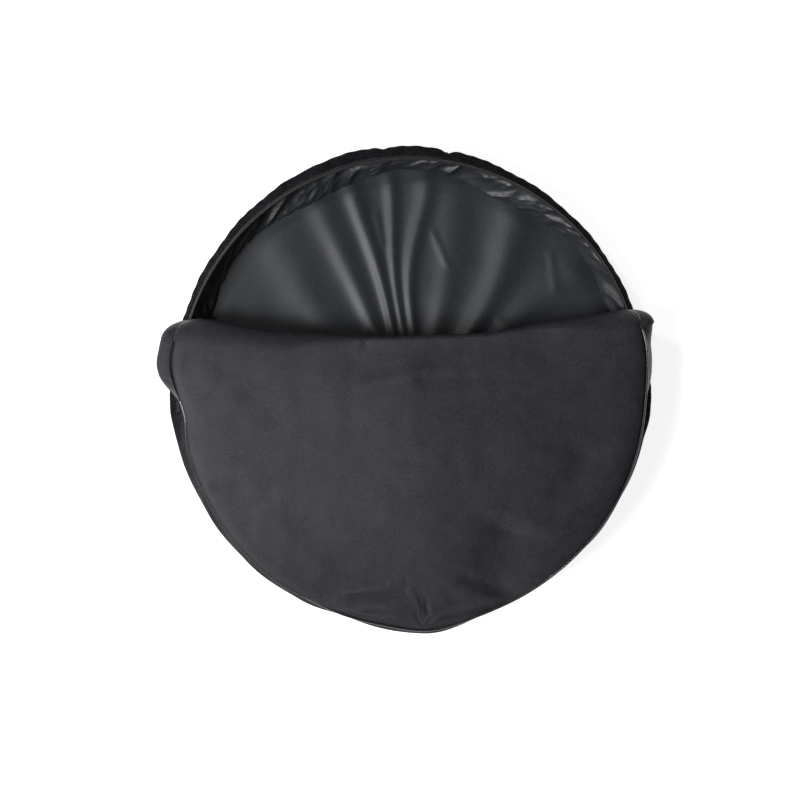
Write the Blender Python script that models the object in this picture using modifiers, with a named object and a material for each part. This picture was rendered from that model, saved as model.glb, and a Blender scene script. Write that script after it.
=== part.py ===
# A round padded bag lying on its back, +Z out of its front panel, +Y towards its mouth.
# Its zip is fully open and the upper part of the front is folded and tucked inside.
# The origin is the middle of the back panel, on the surface that the bag lies on.
import math

import bmesh
import bpy
from mathutils import Matrix, Vector

# Driving dimensions, in metres
FRONT_RADIUS = 0.373       # middle of the cord in the front seam
BAG_DEPTH = 0.094          # floor to the front seam's top
REAR_RIM_EXTRA = 0.005     # how much wider the back seam is than the front seam
BELLY_EXTRA = 0.011        # how far the side wall swells past the front seam
BELLY_LOW = 0.016          # floor to the widest part of the wall
WALL_LEAN = 0.0165         # height over which the wall leans in to the zip
ZIP_INSET = 0.0015         # how far the zip line lies inside the front seam
ZIP_DEPTH = 0.030          # front seam's top down to the middle of the zip
MOUTH_EDGE = 0.088         # centre of the bag to the fold's outer side, at its middle
FOLD_BOW = 0.028           # how much higher the fold lies at the rim
FOLD_RADIUS = 0.0235
SHELL = 0.0012
PADDING = 0.0050
LINING = 0.0008
PIPING_RADIUS = 0.0020
SEWN_GAP = 0.0003          # between pieces that touch
SEAM_ROOM = 0.0012         # between a panel's edge and the side wall's facets

# Angles, in degrees, and counts
FLAP_SWING = 178.0
ZIP_END_ANGLE = -2.8
TEETH_PITCH_ANGLE = 1.5
RIM_FACETS = 60
PIPING_SIDES = 5

# Heights and radii that follow from them
STACK = SHELL + PADDING + LINING + 2 * SEWN_GAP
PANEL_INSET = SHELL + LINING + 2 * SEWN_GAP + SEAM_ROOM
REAR_RADIUS = FRONT_RADIUS + REAR_RIM_EXTRA
BELLY_RADIUS = FRONT_RADIUS + BELLY_EXTRA
ZIP_RADIUS = FRONT_RADIUS - ZIP_INSET
ZIP_Z = BAG_DEPTH - ZIP_DEPTH
WALL_BOTTOM = 2 * PIPING_RADIUS + 2 * SEWN_GAP
WALL_TOP = BAG_DEPTH - 2 * PIPING_RADIUS - SEWN_GAP
PANEL_RADIUS = FRONT_RADIUS - PANEL_INSET
FOLD_HEIGHT = MOUTH_EDGE - FOLD_RADIUS

# The flap turns about a line along X, half way round the fold from the front's edge
HINGE_Y = FOLD_HEIGHT + FOLD_BOW / 2 + math.pi * FOLD_RADIUS / 2 - PADDING
HINGE_Z = BAG_DEPTH - FOLD_RADIUS

OUTER_CLOTH = ((0.060, 0.055, 0.063), 0.85, 0.0)
LINING_CLOTH = ((0.020, 0.021, 0.023), 0.35, 0.0)
FOAM = ((0.110, 0.110, 0.115), 0.95, 0.0)
CORD = ((0.008, 0.008, 0.009), 0.40, 0.0)
ZIP_NYLON = ((0.010, 0.010, 0.011), 0.45, 0.0)
WEBBING = ((0.018, 0.018, 0.020), 0.75, 0.0)
ZINC = ((0.030, 0.030, 0.032), 0.35, 0.9)


for leftover in list(bpy.data.objects):
    bpy.data.objects.remove(leftover, do_unlink=True)

parts = bpy.data.collections.new("round_wheel_bag")
bpy.context.scene.collection.children.link(parts)
cutters = bpy.data.collections.new("cutters")
bpy.context.scene.collection.children.link(cutters)


def smoothstep(value):
    value = min(max(value, 0.0), 1.0)
    return value * value * (3 - 2 * value)


def mix(low, high, share):
    return low + (high - low) * share


def polar(radius, angle, height=0.0):
    turn = math.radians(angle)
    return Vector((radius * math.cos(turn), radius * math.sin(turn), height))


def add_material(thing, finish):
    colour, roughness, metallic = finish
    material = bpy.data.materials.new(thing.name + "_finish")
    material.use_nodes = True
    shader = material.node_tree.nodes["Principled BSDF"]
    shader.inputs["Base Color"].default_value = (*colour, 1.0)
    shader.inputs["Roughness"].default_value = roughness
    shader.inputs["Metallic"].default_value = metallic
    thing.data.materials.append(material)


def add_part(name, shape, finish, parent=None, angle=40.0):
    """Turn a bmesh into a named part, shaded smooth but for its sharp edges."""
    bmesh.ops.recalc_face_normals(shape, faces=shape.faces)
    mesh = bpy.data.meshes.new(name)
    shape.to_mesh(mesh)
    shape.free()
    mesh.shade_smooth()
    mesh.set_sharp_from_angle(angle=math.radians(angle))
    part = bpy.data.objects.new(name, mesh)
    parts.objects.link(part)
    add_material(part, finish)
    if parent:
        part.parent = parent
    return part


def disc(radius, bottom, thickness, facets):
    shape = bmesh.new()
    middle = Matrix.Translation((0, 0, bottom + thickness / 2))
    bmesh.ops.create_cone(shape, cap_ends=True, segments=facets, radius1=radius,
                          radius2=radius, depth=thickness, matrix=middle)
    return shape


def spun(section, start, end, steps):
    """Spin a closed section, points of (radius, z), about the bag's middle line."""
    shape = bmesh.new()
    corners = [shape.verts.new(polar(r, start, z)) for r, z in section]
    loop = [shape.edges.new((a, b)) for a, b in zip(corners, corners[1:] + corners[:1])]
    whole = end - start >= 360.0
    bmesh.ops.spin(shape, geom=corners + loop, cent=(0, 0, 0), axis=(0, 0, 1),
                   angle=math.radians(end - start), steps=steps, use_merge=whole)
    if not whole:
        shape.verts.ensure_lookup_table()
        ring = len(section)
        shape.faces.new(shape.verts[:ring])
        shape.faces.new(shape.verts[-ring:])
    return shape


def lofted(rings):
    """Join rings of points, each with as many as the last, into one closed solid."""
    shape = bmesh.new()
    rows = [[shape.verts.new(point) for point in ring] for ring in rings]
    for low, high in zip(rows, rows[1:]):
        for k, _ in enumerate(low):
            following = (k + 1) % len(low)
            shape.faces.new((low[k], low[following], high[following], high[k]))
    shape.faces.new(rows[0])
    shape.faces.new(rows[-1])
    return shape


def cord(path, radius, outward, sides=PIPING_SIDES):
    """A round cord along a path; outward gives the direction of its first corner."""
    rings = []
    for k, point in enumerate(path):
        ahead = path[min(k + 1, len(path) - 1)] - path[max(k - 1, 0)]
        side = outward(k)
        side = (side - ahead * side.dot(ahead) / ahead.length_squared).normalized()
        up = ahead.normalized().cross(side)
        turns = [math.tau * n / sides for n in range(sides)]
        rings.append([point + radius * (side * math.cos(t) + up * math.sin(t)) for t in turns])
    return lofted(rings)


# Side wall

ZIP_STRAIGHT = 0.0075      # the wall stands upright this far above and below the zip
BELLY_HIGH = ZIP_Z - ZIP_STRAIGHT - WALL_LEAN
WALL_LINE = (
    (REAR_RADIUS, WALL_BOTTOM),
    (BELLY_RADIUS, BELLY_LOW),
    (BELLY_RADIUS, BELLY_HIGH),
    (ZIP_RADIUS, ZIP_Z - ZIP_STRAIGHT),
    (ZIP_RADIUS, ZIP_Z + ZIP_STRAIGHT),
    (FRONT_RADIUS, WALL_TOP),
)


def wall_radius(height):
    """Radius of the side wall's outer face at a height."""
    for (low_r, low_z), (high_r, high_z) in zip(WALL_LINE, WALL_LINE[1:]):
        if height <= high_z:
            return mix(low_r, high_r, (height - low_z) / (high_z - low_z))
    return WALL_LINE[-1][0]


def wall_section(low, high, outer, thickness):
    """The closed section of one layer of the wall, outer being its depth in the wall."""
    heights = [low] + [z for _, z in WALL_LINE if low < z < high] + [high]
    line = [(wall_radius(z) - outer, z) for z in heights]
    return line + [(r - thickness, z) for r, z in reversed(line)]


CHAIN_BASE = 0.0040        # zip line to the back of each row of teeth
TOOTH_RISE = 0.0030
TOOTH_CLEARANCE = 0.0006
CHAIN_THICKNESS = 0.0024
TAPE_WIDTH = 0.0055
TAPE_THICKNESS = 0.0008
REAR_STRIP_TOP = ZIP_Z - CHAIN_BASE - TAPE_WIDTH - 2 * SEWN_GAP
FRONT_STRIP_BOTTOM = ZIP_Z + CHAIN_BASE + TAPE_WIDTH + 2 * SEWN_GAP
ZIP_FAR_ANGLE = 180.0 - ZIP_END_ANGLE
WALL_SEAM_ANGLE = 0.4      # between the lower wall's ends and the zip's
LOWER_START = ZIP_FAR_ANGLE + WALL_SEAM_ANGLE
LOWER_END = 360.0 + ZIP_END_ANGLE - WALL_SEAM_ANGLE


def facets_in(degrees):
    return max(2, round(RIM_FACETS * degrees / 360.0))


def build_wall():
    lining_depth = SHELL + SEWN_GAP
    lower = (LOWER_START, LOWER_END, facets_in(LOWER_END - LOWER_START))
    upper = (ZIP_END_ANGLE, ZIP_FAR_ANGLE, facets_in(ZIP_FAR_ANGLE - ZIP_END_ANGLE))
    add_part("lower_gusset_shell", spun(wall_section(WALL_BOTTOM, WALL_TOP, 0, SHELL), *lower),
             OUTER_CLOTH)
    add_part("lower_gusset_lining",
             spun(wall_section(WALL_BOTTOM, WALL_TOP, lining_depth, LINING), *lower), LINING_CLOTH)
    add_part("upper_gusset_shell",
             spun(wall_section(WALL_BOTTOM, REAR_STRIP_TOP, 0, SHELL), *upper), OUTER_CLOTH)
    add_part("upper_gusset_lining",
             spun(wall_section(WALL_BOTTOM, REAR_STRIP_TOP, lining_depth, LINING), *upper),
             LINING_CLOTH)


# Back panel, and the patch where the hub presses

HUB_Y = 0.016              # the hub presses a little above the middle
PATCH_MARGIN = 0.0065      # between the patch's edge and the fold
PATCH_RADIUS = FOLD_HEIGHT - HUB_Y - PATCH_MARGIN
PATCH_THICKNESS = 0.0015
BINDING_WIDTH = 0.009
BINDING_THICKNESS = 0.002


def build_back():
    radius = REAR_RADIUS - PANEL_INSET
    padding_bottom = SHELL + SEWN_GAP
    lining_bottom = padding_bottom + PADDING + SEWN_GAP
    add_part("back_shell", disc(radius, 0, SHELL, RIM_FACETS), OUTER_CLOTH)
    add_part("back_padding", disc(radius, padding_bottom, PADDING, RIM_FACETS), FOAM)
    add_part("back_lining", disc(radius, lining_bottom, LINING, RIM_FACETS), LINING_CLOTH)
    patch = disc(PATCH_RADIUS, STACK + SEWN_GAP, PATCH_THICKNESS, RIM_FACETS // 2)
    bmesh.ops.translate(patch, verts=patch.verts, vec=(0, HUB_Y, 0))
    add_part("back_hub_patch", patch, LINING_CLOTH)

    inner = radius - BINDING_WIDTH
    bottom = STACK + SEWN_GAP
    top = bottom + BINDING_THICKNESS
    section = [(inner, bottom), (radius, bottom), (radius, top), (inner, top)]
    add_part("rear_seam_binding", spun(section, 0, 360, RIM_FACETS), WEBBING)

    centre = (REAR_RADIUS, PIPING_RADIUS + SEWN_GAP)
    turns = [math.tau * n / PIPING_SIDES for n in range(PIPING_SIDES)]
    ring = [(centre[0] + PIPING_RADIUS * math.cos(t), centre[1] + PIPING_RADIUS * math.sin(t))
            for t in turns]
    add_part("rear_piping", spun(ring, 0, 360, RIM_FACETS), CORD)


# The fold: where the front panel turns in over the mouth

TENT_RISE = 0.018          # how high the hub lifts the front panel
RIDGE_RISE = 0.008         # the crease that runs down from the hub
RIDGE_WIDTH = 0.070
RIDGE_FOOT_X = 0.032
FOLD_SPANS = 12
ROLL_STEPS = 6
ROLL_END_INSET = 0.020     # how much shorter the roll is inside the bag
TENT_POWER = 1.5


def fold_y(x):
    """The fold sags between the two ends that hang on the rim."""
    return FOLD_HEIGHT + FOLD_BOW * (x / FRONT_RADIUS) ** 2


def fold_corner(radius):
    """Where the fold meets a circle about the bag's middle, on the +X side."""
    x = radius
    for _ in range(12):
        x = math.sqrt(radius ** 2 - fold_y(x) ** 2)
    return Vector((x, fold_y(x), 0))


def front_rise(x, y):
    """How far the front panel stands above its seam, over the hub and its crease."""
    hub = Vector((0, HUB_Y))
    away = Vector((x, y)) - hub
    if away.length == 0:
        return TENT_RISE
    heading = away.normalized()
    along = hub.dot(heading)
    reach = math.sqrt(along ** 2 + PANEL_RADIUS ** 2 - hub.length_squared) - along
    share = max(0.0, 1 - away.length / reach)
    foot = Vector((RIDGE_FOOT_X, -PANEL_RADIUS)) - hub
    down = foot.normalized()
    across = away.dot(Vector((-down.y, down.x)))
    ridge = math.exp(-(across / RIDGE_WIDTH) ** 2) * smoothstep(away.dot(down) / foot.length * 2)
    return TENT_RISE * share ** TENT_POWER + RIDGE_RISE * ridge * min(1.0, share * 2)


FOLD_END = fold_corner(FRONT_RADIUS)
PANEL_END = fold_corner(PANEL_RADIUS)
ROLL_END_X = PANEL_END.x - PIPING_RADIUS


def roll_point(x, turn, depth):
    """A point on the roll: turn is 0 at the front panel and pi at the flap."""
    top = BAG_DEPTH + front_rise(x, fold_y(x))
    bottom = BAG_DEPTH - 2 * FOLD_RADIUS
    shorter = 1 - ROLL_END_INSET / ROLL_END_X * smoothstep(turn / (math.pi / 2))
    return Vector((
        x * shorter,
        fold_y(x) + (FOLD_RADIUS - depth) * math.sin(turn),
        (top + bottom) / 2 + ((top - bottom) / 2 - depth) * math.cos(turn),
    ))


def fold_stations(reach):
    return [mix(-reach, reach, k / FOLD_SPANS) for k in range(FOLD_SPANS + 1)]


def build_fold():
    turns = [math.pi * k / ROLL_STEPS for k in range(ROLL_STEPS + 1)]
    layers = (
        ("fold_shell", 0, SHELL, OUTER_CLOTH),
        ("fold_padding", SHELL + SEWN_GAP, PADDING, FOAM),
        ("fold_lining", SHELL + PADDING + 2 * SEWN_GAP, LINING, LINING_CLOTH),
    )
    for name, depth, thickness, finish in layers:
        rings = []
        for x in fold_stations(ROLL_END_X):
            outer = [roll_point(x, t, depth) for t in turns]
            inner = [roll_point(x, t, depth + thickness) for t in reversed(turns)]
            rings.append(outer + inner)
        add_part(name, lofted(rings), finish)


# Front panel below the fold

RIM_SPANS = 29
RING_SHARES = (0.40, 0.72, 1.0)    # of the way from the patch's edge to the panel's edge


def front_outline():
    """The panel's edge: the fold from left to right, then clockwise round the rim."""
    edge = [Vector((x, fold_y(x) - SEWN_GAP, 0)) for x in fold_stations(PANEL_END.x)]
    start = math.degrees(math.atan2(PANEL_END.y, PANEL_END.x))
    sweep = 180.0 + 2 * start
    edge += [polar(PANEL_RADIUS, start - sweep * k / RIM_SPANS) for k in range(1, RIM_SPANS)]
    return edge


def front_layer(top, thickness, shares, patch_radius):
    """A layer of the front: rings about the hub, out to the panel's edge."""
    shape = bmesh.new()
    hub = Vector((0, HUB_Y, 0))
    edge = front_outline()
    near = [hub + (point - hub).normalized() * patch_radius for point in edge]
    rows = [[a.lerp(b, share) for a, b in zip(near, edge)] for share in (0.0, *shares)]
    rows = [[shape.verts.new(point) for point in row] for row in rows]
    middle = shape.verts.new(hub)
    for k, _ in enumerate(edge):
        following = (k + 1) % len(edge)
        shape.faces.new((middle, rows[0][following], rows[0][k]))
        for low, high in zip(rows, rows[1:]):
            shape.faces.new((low[k], low[following], high[following], high[k]))
    for vertex in shape.verts:
        vertex.co.z = top + front_rise(vertex.co.x, vertex.co.y)
    grown = bmesh.ops.extrude_face_region(shape, geom=list(shape.faces), use_keep_orig=True)
    lower = [item for item in grown["geom"] if isinstance(item, bmesh.types.BMVert)]
    bmesh.ops.translate(shape, verts=lower, vec=(0, 0, -thickness))
    return shape


def build_front():
    padding_top = BAG_DEPTH - SHELL - SEWN_GAP
    lining_top = padding_top - PADDING - SEWN_GAP
    patch_top = lining_top - LINING - SEWN_GAP
    for name, top, thickness, finish in (
        ("front_shell", BAG_DEPTH, SHELL, OUTER_CLOTH),
        ("front_padding", padding_top, PADDING, FOAM),
        ("front_lining", lining_top, LINING, LINING_CLOTH),
    ):
        add_part(name, front_layer(top, thickness, RING_SHARES, PATCH_RADIUS), finish)
    add_part("front_hub_patch", front_layer(patch_top, PATCH_THICKNESS, (), PATCH_RADIUS),
             LINING_CLOTH)

    bottom = BAG_DEPTH - STACK - SEWN_GAP - BINDING_THICKNESS
    top = bottom + BINDING_THICKNESS
    inner = PANEL_RADIUS - BINDING_WIDTH
    section = [(inner, bottom), (PANEL_RADIUS, bottom), (PANEL_RADIUS, top), (inner, top)]
    binding = spun(section, LOWER_START, LOWER_END, facets_in(LOWER_END - LOWER_START))
    add_part("front_seam_binding", binding, WEBBING)


# Cord in the front seam, on round both ends of the fold

WING_SPLAY = 78.0          # how far the wing leans out, in degrees
WING_RIM_STEPS = 7
WING_FOLD_STEPS = 5        # of the roll's own steps, so both turn alike
WING_FOLD_TURN = math.pi * WING_FOLD_STEPS / ROLL_STEPS
CORD_ROOM = 0.0012         # between the roll's end and the cord round it
FOLD_ANGLE = math.degrees(math.atan2(FOLD_END.y, FOLD_END.x))
CORD_END_X = ROLL_END_X + CORD_ROOM + PIPING_RADIUS


def roll_cord_point(turn):
    """Middle of the cord where it goes round the right end of the roll."""
    point = roll_point(ROLL_END_X, turn, PIPING_RADIUS)
    shift = mix(FOLD_END.x - ROLL_END_X, CORD_END_X - ROLL_END_X, smoothstep(turn))
    return point + Vector((shift, 0, 0))


def mirrored(points):
    return [Vector((-p.x, p.y, p.z)) for p in points]


def build_front_piping():
    turns = [WING_FOLD_TURN * k / WING_FOLD_STEPS for k in range(1, WING_FOLD_STEPS + 1)]
    round_end = [roll_cord_point(t) for t in turns]
    sweep = 180.0 + 2 * FOLD_ANGLE
    steps = facets_in(sweep)
    height = BAG_DEPTH - PIPING_RADIUS
    rim = [polar(FRONT_RADIUS, FOLD_ANGLE - sweep * k / steps, height) for k in range(steps + 1)]
    path = list(reversed(round_end)) + rim + mirrored(round_end)
    middle = Vector((0, 0, height))
    shape = cord(path, PIPING_RADIUS, lambda k: path[k] - middle)
    add_part("front_piping", shape, CORD)


# Wings: the ends of the front strip, splayed out where the panel folds

WING_TIP_DEPTH = 0.009     # what is left of the strip's width inside the roll's end


def wing_stations():
    """Anchor, direction down the strip and its share of width, along the right wing."""
    height = BAG_DEPTH - PIPING_RADIUS
    stations = []
    for k in range(WING_RIM_STEPS + 1):
        angle = mix(ZIP_END_ANGLE, FOLD_ANGLE, k / WING_RIM_STEPS)
        lean = math.radians(WING_SPLAY) * smoothstep(k / WING_RIM_STEPS * 1.5)
        outward = polar(1, angle)
        direction = outward * math.sin(lean) - Vector((0, 0, math.cos(lean)))
        stations.append((polar(FRONT_RADIUS, angle, height), direction, 1.0))
    for k in range(1, WING_FOLD_STEPS + 1):
        share = k / WING_FOLD_STEPS
        turn = WING_FOLD_TURN * share
        lean = math.radians(WING_SPLAY) * (1 - smoothstep(share * 1.6))
        inward = Vector((0, -math.sin(turn), -math.cos(turn)))
        direction = Vector((math.sin(lean), 0, 0)) + inward * math.cos(lean)
        full = FRONT_STRIP_HEIGHT
        stations.append((roll_cord_point(turn), direction, mix(1.0, WING_TIP_DEPTH / full, share)))
    return stations


FRONT_STRIP_HEIGHT = WALL_TOP - FRONT_STRIP_BOTTOM


def strip_ring(station, along, start, width, thickness):
    """A rectangle across the wing, from start to start + width down the strip."""
    anchor, direction, _ = station
    across = direction.cross(along).normalized() * thickness / 2
    near = anchor + direction * start
    far = anchor + direction * (start + width)
    return [near + across, far + across, far - across, near - across]


def path_tangents(stations):
    count = len(stations) - 1
    return [stations[min(k + 1, count)][0] - stations[max(k - 1, 0)][0]
            for k in range(count + 1)]


def at_side(shape, side):
    if side < 0:
        bmesh.ops.scale(shape, verts=shape.verts, vec=(-1, 1, 1))
        bmesh.ops.reverse_faces(shape, faces=shape.faces)
    return shape


def wing_zip(stations, tangents):
    """The tape and the teeth on the wing's outer edge, from the slider on."""
    edge_start = PIPING_RADIUS + SEWN_GAP
    first = 2
    rings, edges = [], []
    for k in range(first, len(stations)):
        station = stations[k]
        tape_start = edge_start + FRONT_STRIP_HEIGHT * station[2] + SEWN_GAP
        width = TAPE_WIDTH * station[2]
        rings.append(strip_ring(station, tangents[k], tape_start, width, TAPE_THICKNESS))
        edges.append((station[0] + station[1] * (tape_start + width + SEWN_GAP), station[1],
                      station[1].cross(tangents[k]).normalized()))
    teeth = []
    pitch = math.radians(TEETH_PITCH_ANGLE) * ZIP_RADIUS
    for (a, down_a, across_a), (b, down_b, across_b) in zip(edges, edges[1:]):
        halves = max(2, 2 * round((b - a).length / pitch))
        for n in range(halves):
            share = n / halves
            down = down_a.lerp(down_b, share).normalized()
            across = across_a.lerp(across_b, share).normalized() * CHAIN_THICKNESS / 2
            tip = CHAIN_BASE + (TOOTH_RISE if n % 2 else -TOOTH_RISE) / 2 - TOOTH_CLEARANCE / 2
            near = a.lerp(b, share)
            far = near + down * tip
            teeth.append([near + across, far + across, far - across, near - across])
    return lofted(rings), lofted(teeth)


def build_wings():
    stations = wing_stations()
    tangents = path_tangents(stations)
    edge_start = PIPING_RADIUS + SEWN_GAP
    for name, side in (("right_wing", 1), ("left_wing", -1)):
        rings = [strip_ring(station, tangent, edge_start, FRONT_STRIP_HEIGHT * station[2], SHELL)
                 for station, tangent in zip(stations, tangents)]
        cloth = lofted(rings)
        tape, teeth = wing_zip(stations, tangents)
        for twisted in (cloth, tape, teeth):
            bmesh.ops.triangulate(twisted, faces=twisted.faces)
        add_part(name, at_side(cloth, side), OUTER_CLOTH)
        add_part(name + "_zip_tape", at_side(tape, side), ZIP_NYLON)
        add_part(name + "_zip_teeth", at_side(teeth, side), ZIP_NYLON, angle=20.0)


# Zip: tape and meshing teeth, as one row that rises and falls with each tooth

def tooth_row(start, end, base, toward, offset):
    """A row of teeth along the zip line; toward is the way that its teeth point."""
    half_pitch = TEETH_PITCH_ANGLE / 2
    count = int((end - start) / half_pitch)
    outer = ZIP_RADIUS - SHELL / 2 + CHAIN_THICKNESS / 2
    inner = outer - CHAIN_THICKNESS
    rings = []
    for n in range(count + 1):
        angle = start + half_pitch * n
        rise = TOOTH_RISE / 2 if (n + offset) % 2 else -TOOTH_RISE / 2
        tip = ZIP_Z + rise - toward * TOOTH_CLEARANCE / 2
        rings.append([polar(outer, angle, base), polar(outer, angle, tip),
                      polar(inner, angle, tip), polar(inner, angle, base)])
    return lofted(rings)


def tape(low, high, start, end):
    depth = (SHELL - TAPE_THICKNESS) / 2
    section = wall_section(low, high, depth, TAPE_THICKNESS)
    return spun(section, start, end, facets_in(end - start))


def build_rear_zip():
    teeth = tooth_row(ZIP_END_ANGLE, ZIP_FAR_ANGLE, ZIP_Z - CHAIN_BASE, 1, 0)
    add_part("rear_zip_teeth", teeth, ZIP_NYLON, angle=20.0)
    band = tape(REAR_STRIP_TOP + SEWN_GAP, ZIP_Z - CHAIN_BASE - SEWN_GAP,
                ZIP_END_ANGLE, ZIP_FAR_ANGLE)
    add_part("rear_zip_tape", band, ZIP_NYLON)


# Cloth tabs over the two ends of the zip

TAB_SWEEP = 2.6            # degrees of the rim
TAB_HALF_HEIGHT = 0.011
TAB_FACETS = 3


def build_tabs():
    section = wall_section(ZIP_Z - TAB_HALF_HEIGHT, ZIP_Z + TAB_HALF_HEIGHT,
                           -SEWN_GAP - SHELL, SHELL)
    right = LOWER_END - TAB_SWEEP
    add_part("right_zip_tab", spun(section, right, LOWER_END, TAB_FACETS), OUTER_CLOTH)
    add_part("left_zip_tab", spun(section, LOWER_START, LOWER_START + TAB_SWEEP, TAB_FACETS),
             OUTER_CLOTH)


# Flap: the upper part of the front, modelled closed and then turned in about the hinge

FLAP_ARC_SPANS = 24


def flap_corner():
    """Where the closed flap's lower edge meets the panel's circle, on the +X side."""
    x = PANEL_RADIUS
    for _ in range(30):
        x = math.sqrt(PANEL_RADIUS ** 2 - (2 * HINGE_Y - fold_y(x) + SEWN_GAP) ** 2)
    return min(x, ROLL_END_X - ROLL_END_INSET)


def build_flap():
    hinge = bpy.data.objects.new("flap_hinge", None)
    parts.objects.link(hinge)
    hinge.location = (0, HINGE_Y, HINGE_Z)
    hinge.rotation_euler.x = math.radians(FLAP_SWING)

    corner_x = flap_corner()
    lower = [Vector((x, 2 * HINGE_Y - fold_y(x) + SEWN_GAP, 0)) for x in fold_stations(corner_x)]
    start = math.degrees(math.acos(corner_x / PANEL_RADIUS))
    sweep = 180.0 - 2 * start
    arc = [polar(PANEL_RADIUS, start + sweep * k / FLAP_ARC_SPANS)
           for k in range(FLAP_ARC_SPANS + 1)]
    outline = lower + (arc if (arc[0] - lower[-1]).length > SEWN_GAP else arc[1:])

    def hung(name, shape, finish, angle=40.0):
        bmesh.ops.translate(shape, verts=shape.verts, vec=(0, -HINGE_Y, -HINGE_Z))
        add_part(name, shape, finish, hinge, angle)

    top = BAG_DEPTH
    for name, thickness, finish in (
        ("flap_shell", SHELL, OUTER_CLOTH),
        ("flap_padding", PADDING, FOAM),
        ("flap_lining", LINING, LINING_CLOTH),
    ):
        shape = bmesh.new()
        face = shape.faces.new([shape.verts.new((p.x, p.y, top)) for p in outline])
        grown = bmesh.ops.extrude_face_region(shape, geom=[face], use_keep_orig=True)
        low = [item for item in grown["geom"] if isinstance(item, bmesh.types.BMVert)]
        bmesh.ops.translate(shape, verts=low, vec=(0, 0, -thickness))
        hung(name, shape, finish)
        top -= thickness + SEWN_GAP

    facets = facets_in(sweep)
    end = start + sweep
    hung("flap_gusset_shell",
         spun(wall_section(FRONT_STRIP_BOTTOM, WALL_TOP, 0, SHELL), start, end, facets),
         OUTER_CLOTH)
    hung("flap_gusset_lining",
         spun(wall_section(FRONT_STRIP_BOTTOM, WALL_TOP, SHELL + SEWN_GAP, LINING),
              start, end, facets), LINING_CLOTH)
    path = [polar(FRONT_RADIUS, start + sweep * k / facets, BAG_DEPTH - PIPING_RADIUS)
            for k in range(facets + 1)]
    hung("flap_piping", cord(path, PIPING_RADIUS, lambda k: path[k]), CORD)

    first = math.ceil((start - ZIP_END_ANGLE) / (TEETH_PITCH_ANGLE / 2))
    row_start = ZIP_END_ANGLE + first * TEETH_PITCH_ANGLE / 2
    hung("flap_zip_teeth", tooth_row(row_start, end, ZIP_Z + CHAIN_BASE, -1, first),
         ZIP_NYLON, 20.0)
    hung("flap_zip_tape",
         tape(ZIP_Z + CHAIN_BASE + SEWN_GAP, FRONT_STRIP_BOTTOM - SEWN_GAP, start, end),
         ZIP_NYLON)


# Carry handle: webbing sewn flat at both ends and arched between them

HANDLE_HALF_LENGTH = 0.062
HANDLE_SEWN = 0.018        # length sewn flat at each end
HANDLE_WIDTH = 0.022
HANDLE_THICKNESS = 0.0024
HANDLE_ARCH = 0.0050       # gap under the middle of the handle
HANDLE_STATIONS = 16
HANDLE_PATCH = 0.016
HANDLE_PATCH_MARGIN = 0.001


def handle_ring(reach, depth, thickness, half_width, arch):
    """A rectangle across the handle, reach metres round the rim from its middle."""
    angle = 90.0 - math.degrees(reach / BELLY_RADIUS)
    free = (HANDLE_HALF_LENGTH - HANDLE_SEWN - abs(reach)) / (HANDLE_HALF_LENGTH - HANDLE_SEWN)
    inner = BELLY_RADIUS + depth + arch * smoothstep(free * 2)
    middle = (BELLY_LOW + BELLY_HIGH) / 2
    low, high = middle - half_width, middle + half_width
    outer = inner + thickness
    return [polar(inner, angle, low), polar(outer, angle, low),
            polar(outer, angle, high), polar(inner, angle, high)]


def build_handle():
    reaches = [mix(-HANDLE_HALF_LENGTH, HANDLE_HALF_LENGTH, k / HANDLE_STATIONS)
               for k in range(HANDLE_STATIONS + 1)]
    rings = [handle_ring(r, SEWN_GAP, HANDLE_THICKNESS, HANDLE_WIDTH / 2, HANDLE_ARCH)
             for r in reaches]
    add_part("carry_handle", lofted(rings), WEBBING)

    depth = HANDLE_THICKNESS + 2 * SEWN_GAP
    half_width = HANDLE_WIDTH / 2 + HANDLE_PATCH_MARGIN
    for name, side in (("right", -1), ("left", 1)):
        ends = (HANDLE_HALF_LENGTH - HANDLE_PATCH, HANDLE_HALF_LENGTH - HANDLE_PATCH / 2,
                HANDLE_HALF_LENGTH)
        rings = [handle_ring(side * end, depth, SHELL, half_width, 0) for end in ends]
        add_part(name + "_handle_patch", lofted(rings), OUTER_CLOTH)


# Sliders: two plates joined by a post that parts the teeth, with a loop for the pull

SLIDER_LENGTH = 0.020
SLIDER_HALF_HEIGHT = 0.0068
SLIDER_TAIL_HALF_HEIGHT = 0.0056
PLATE_THICKNESS = 0.0017
SLIDER_CLEARANCE = 0.0005  # each side of the teeth
TAPE_ROOM = 0.0009         # each side of the tape, between the lips
LIP_HEIGHT = 0.0013
POST_LENGTH = 0.0035
POST_SETBACK = 0.0020      # nose to the post
POST_HEIGHT = 0.0026
LOOP_LENGTH = 0.0140
LOOP_FOOT = 0.0016
LOOP_WIDTH = 0.0030
LOOP_THICKNESS = 0.0012
LOOP_ROOM = 0.0028         # under the loop, for the pull's cross bar
PULL_THICKNESS = 0.0016
PULL_LENGTH = 0.0300
PULL_WIDTH = 0.0090
PULL_TIP_WIDTH = 0.0065
PULL_EYE_WIDTH = 0.0050
PULL_EYE_LENGTH = 0.0072
PULL_HOLE_RADIUS = 0.0016
PULL_BEVEL = 0.0005
BOOLEAN_OVERLAP = 0.0002
SLIDER_REST_ANGLE = -1.0
CHANNEL_HALF = CHAIN_THICKNESS / 2 + SLIDER_CLEARANCE
SLIDER_RADIUS = ZIP_RADIUS - SHELL / 2
PLATE_FACE = CHANNEL_HALF + PLATE_THICKNESS
PULL_AXIS = PLATE_FACE + LOOP_ROOM / 2


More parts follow.
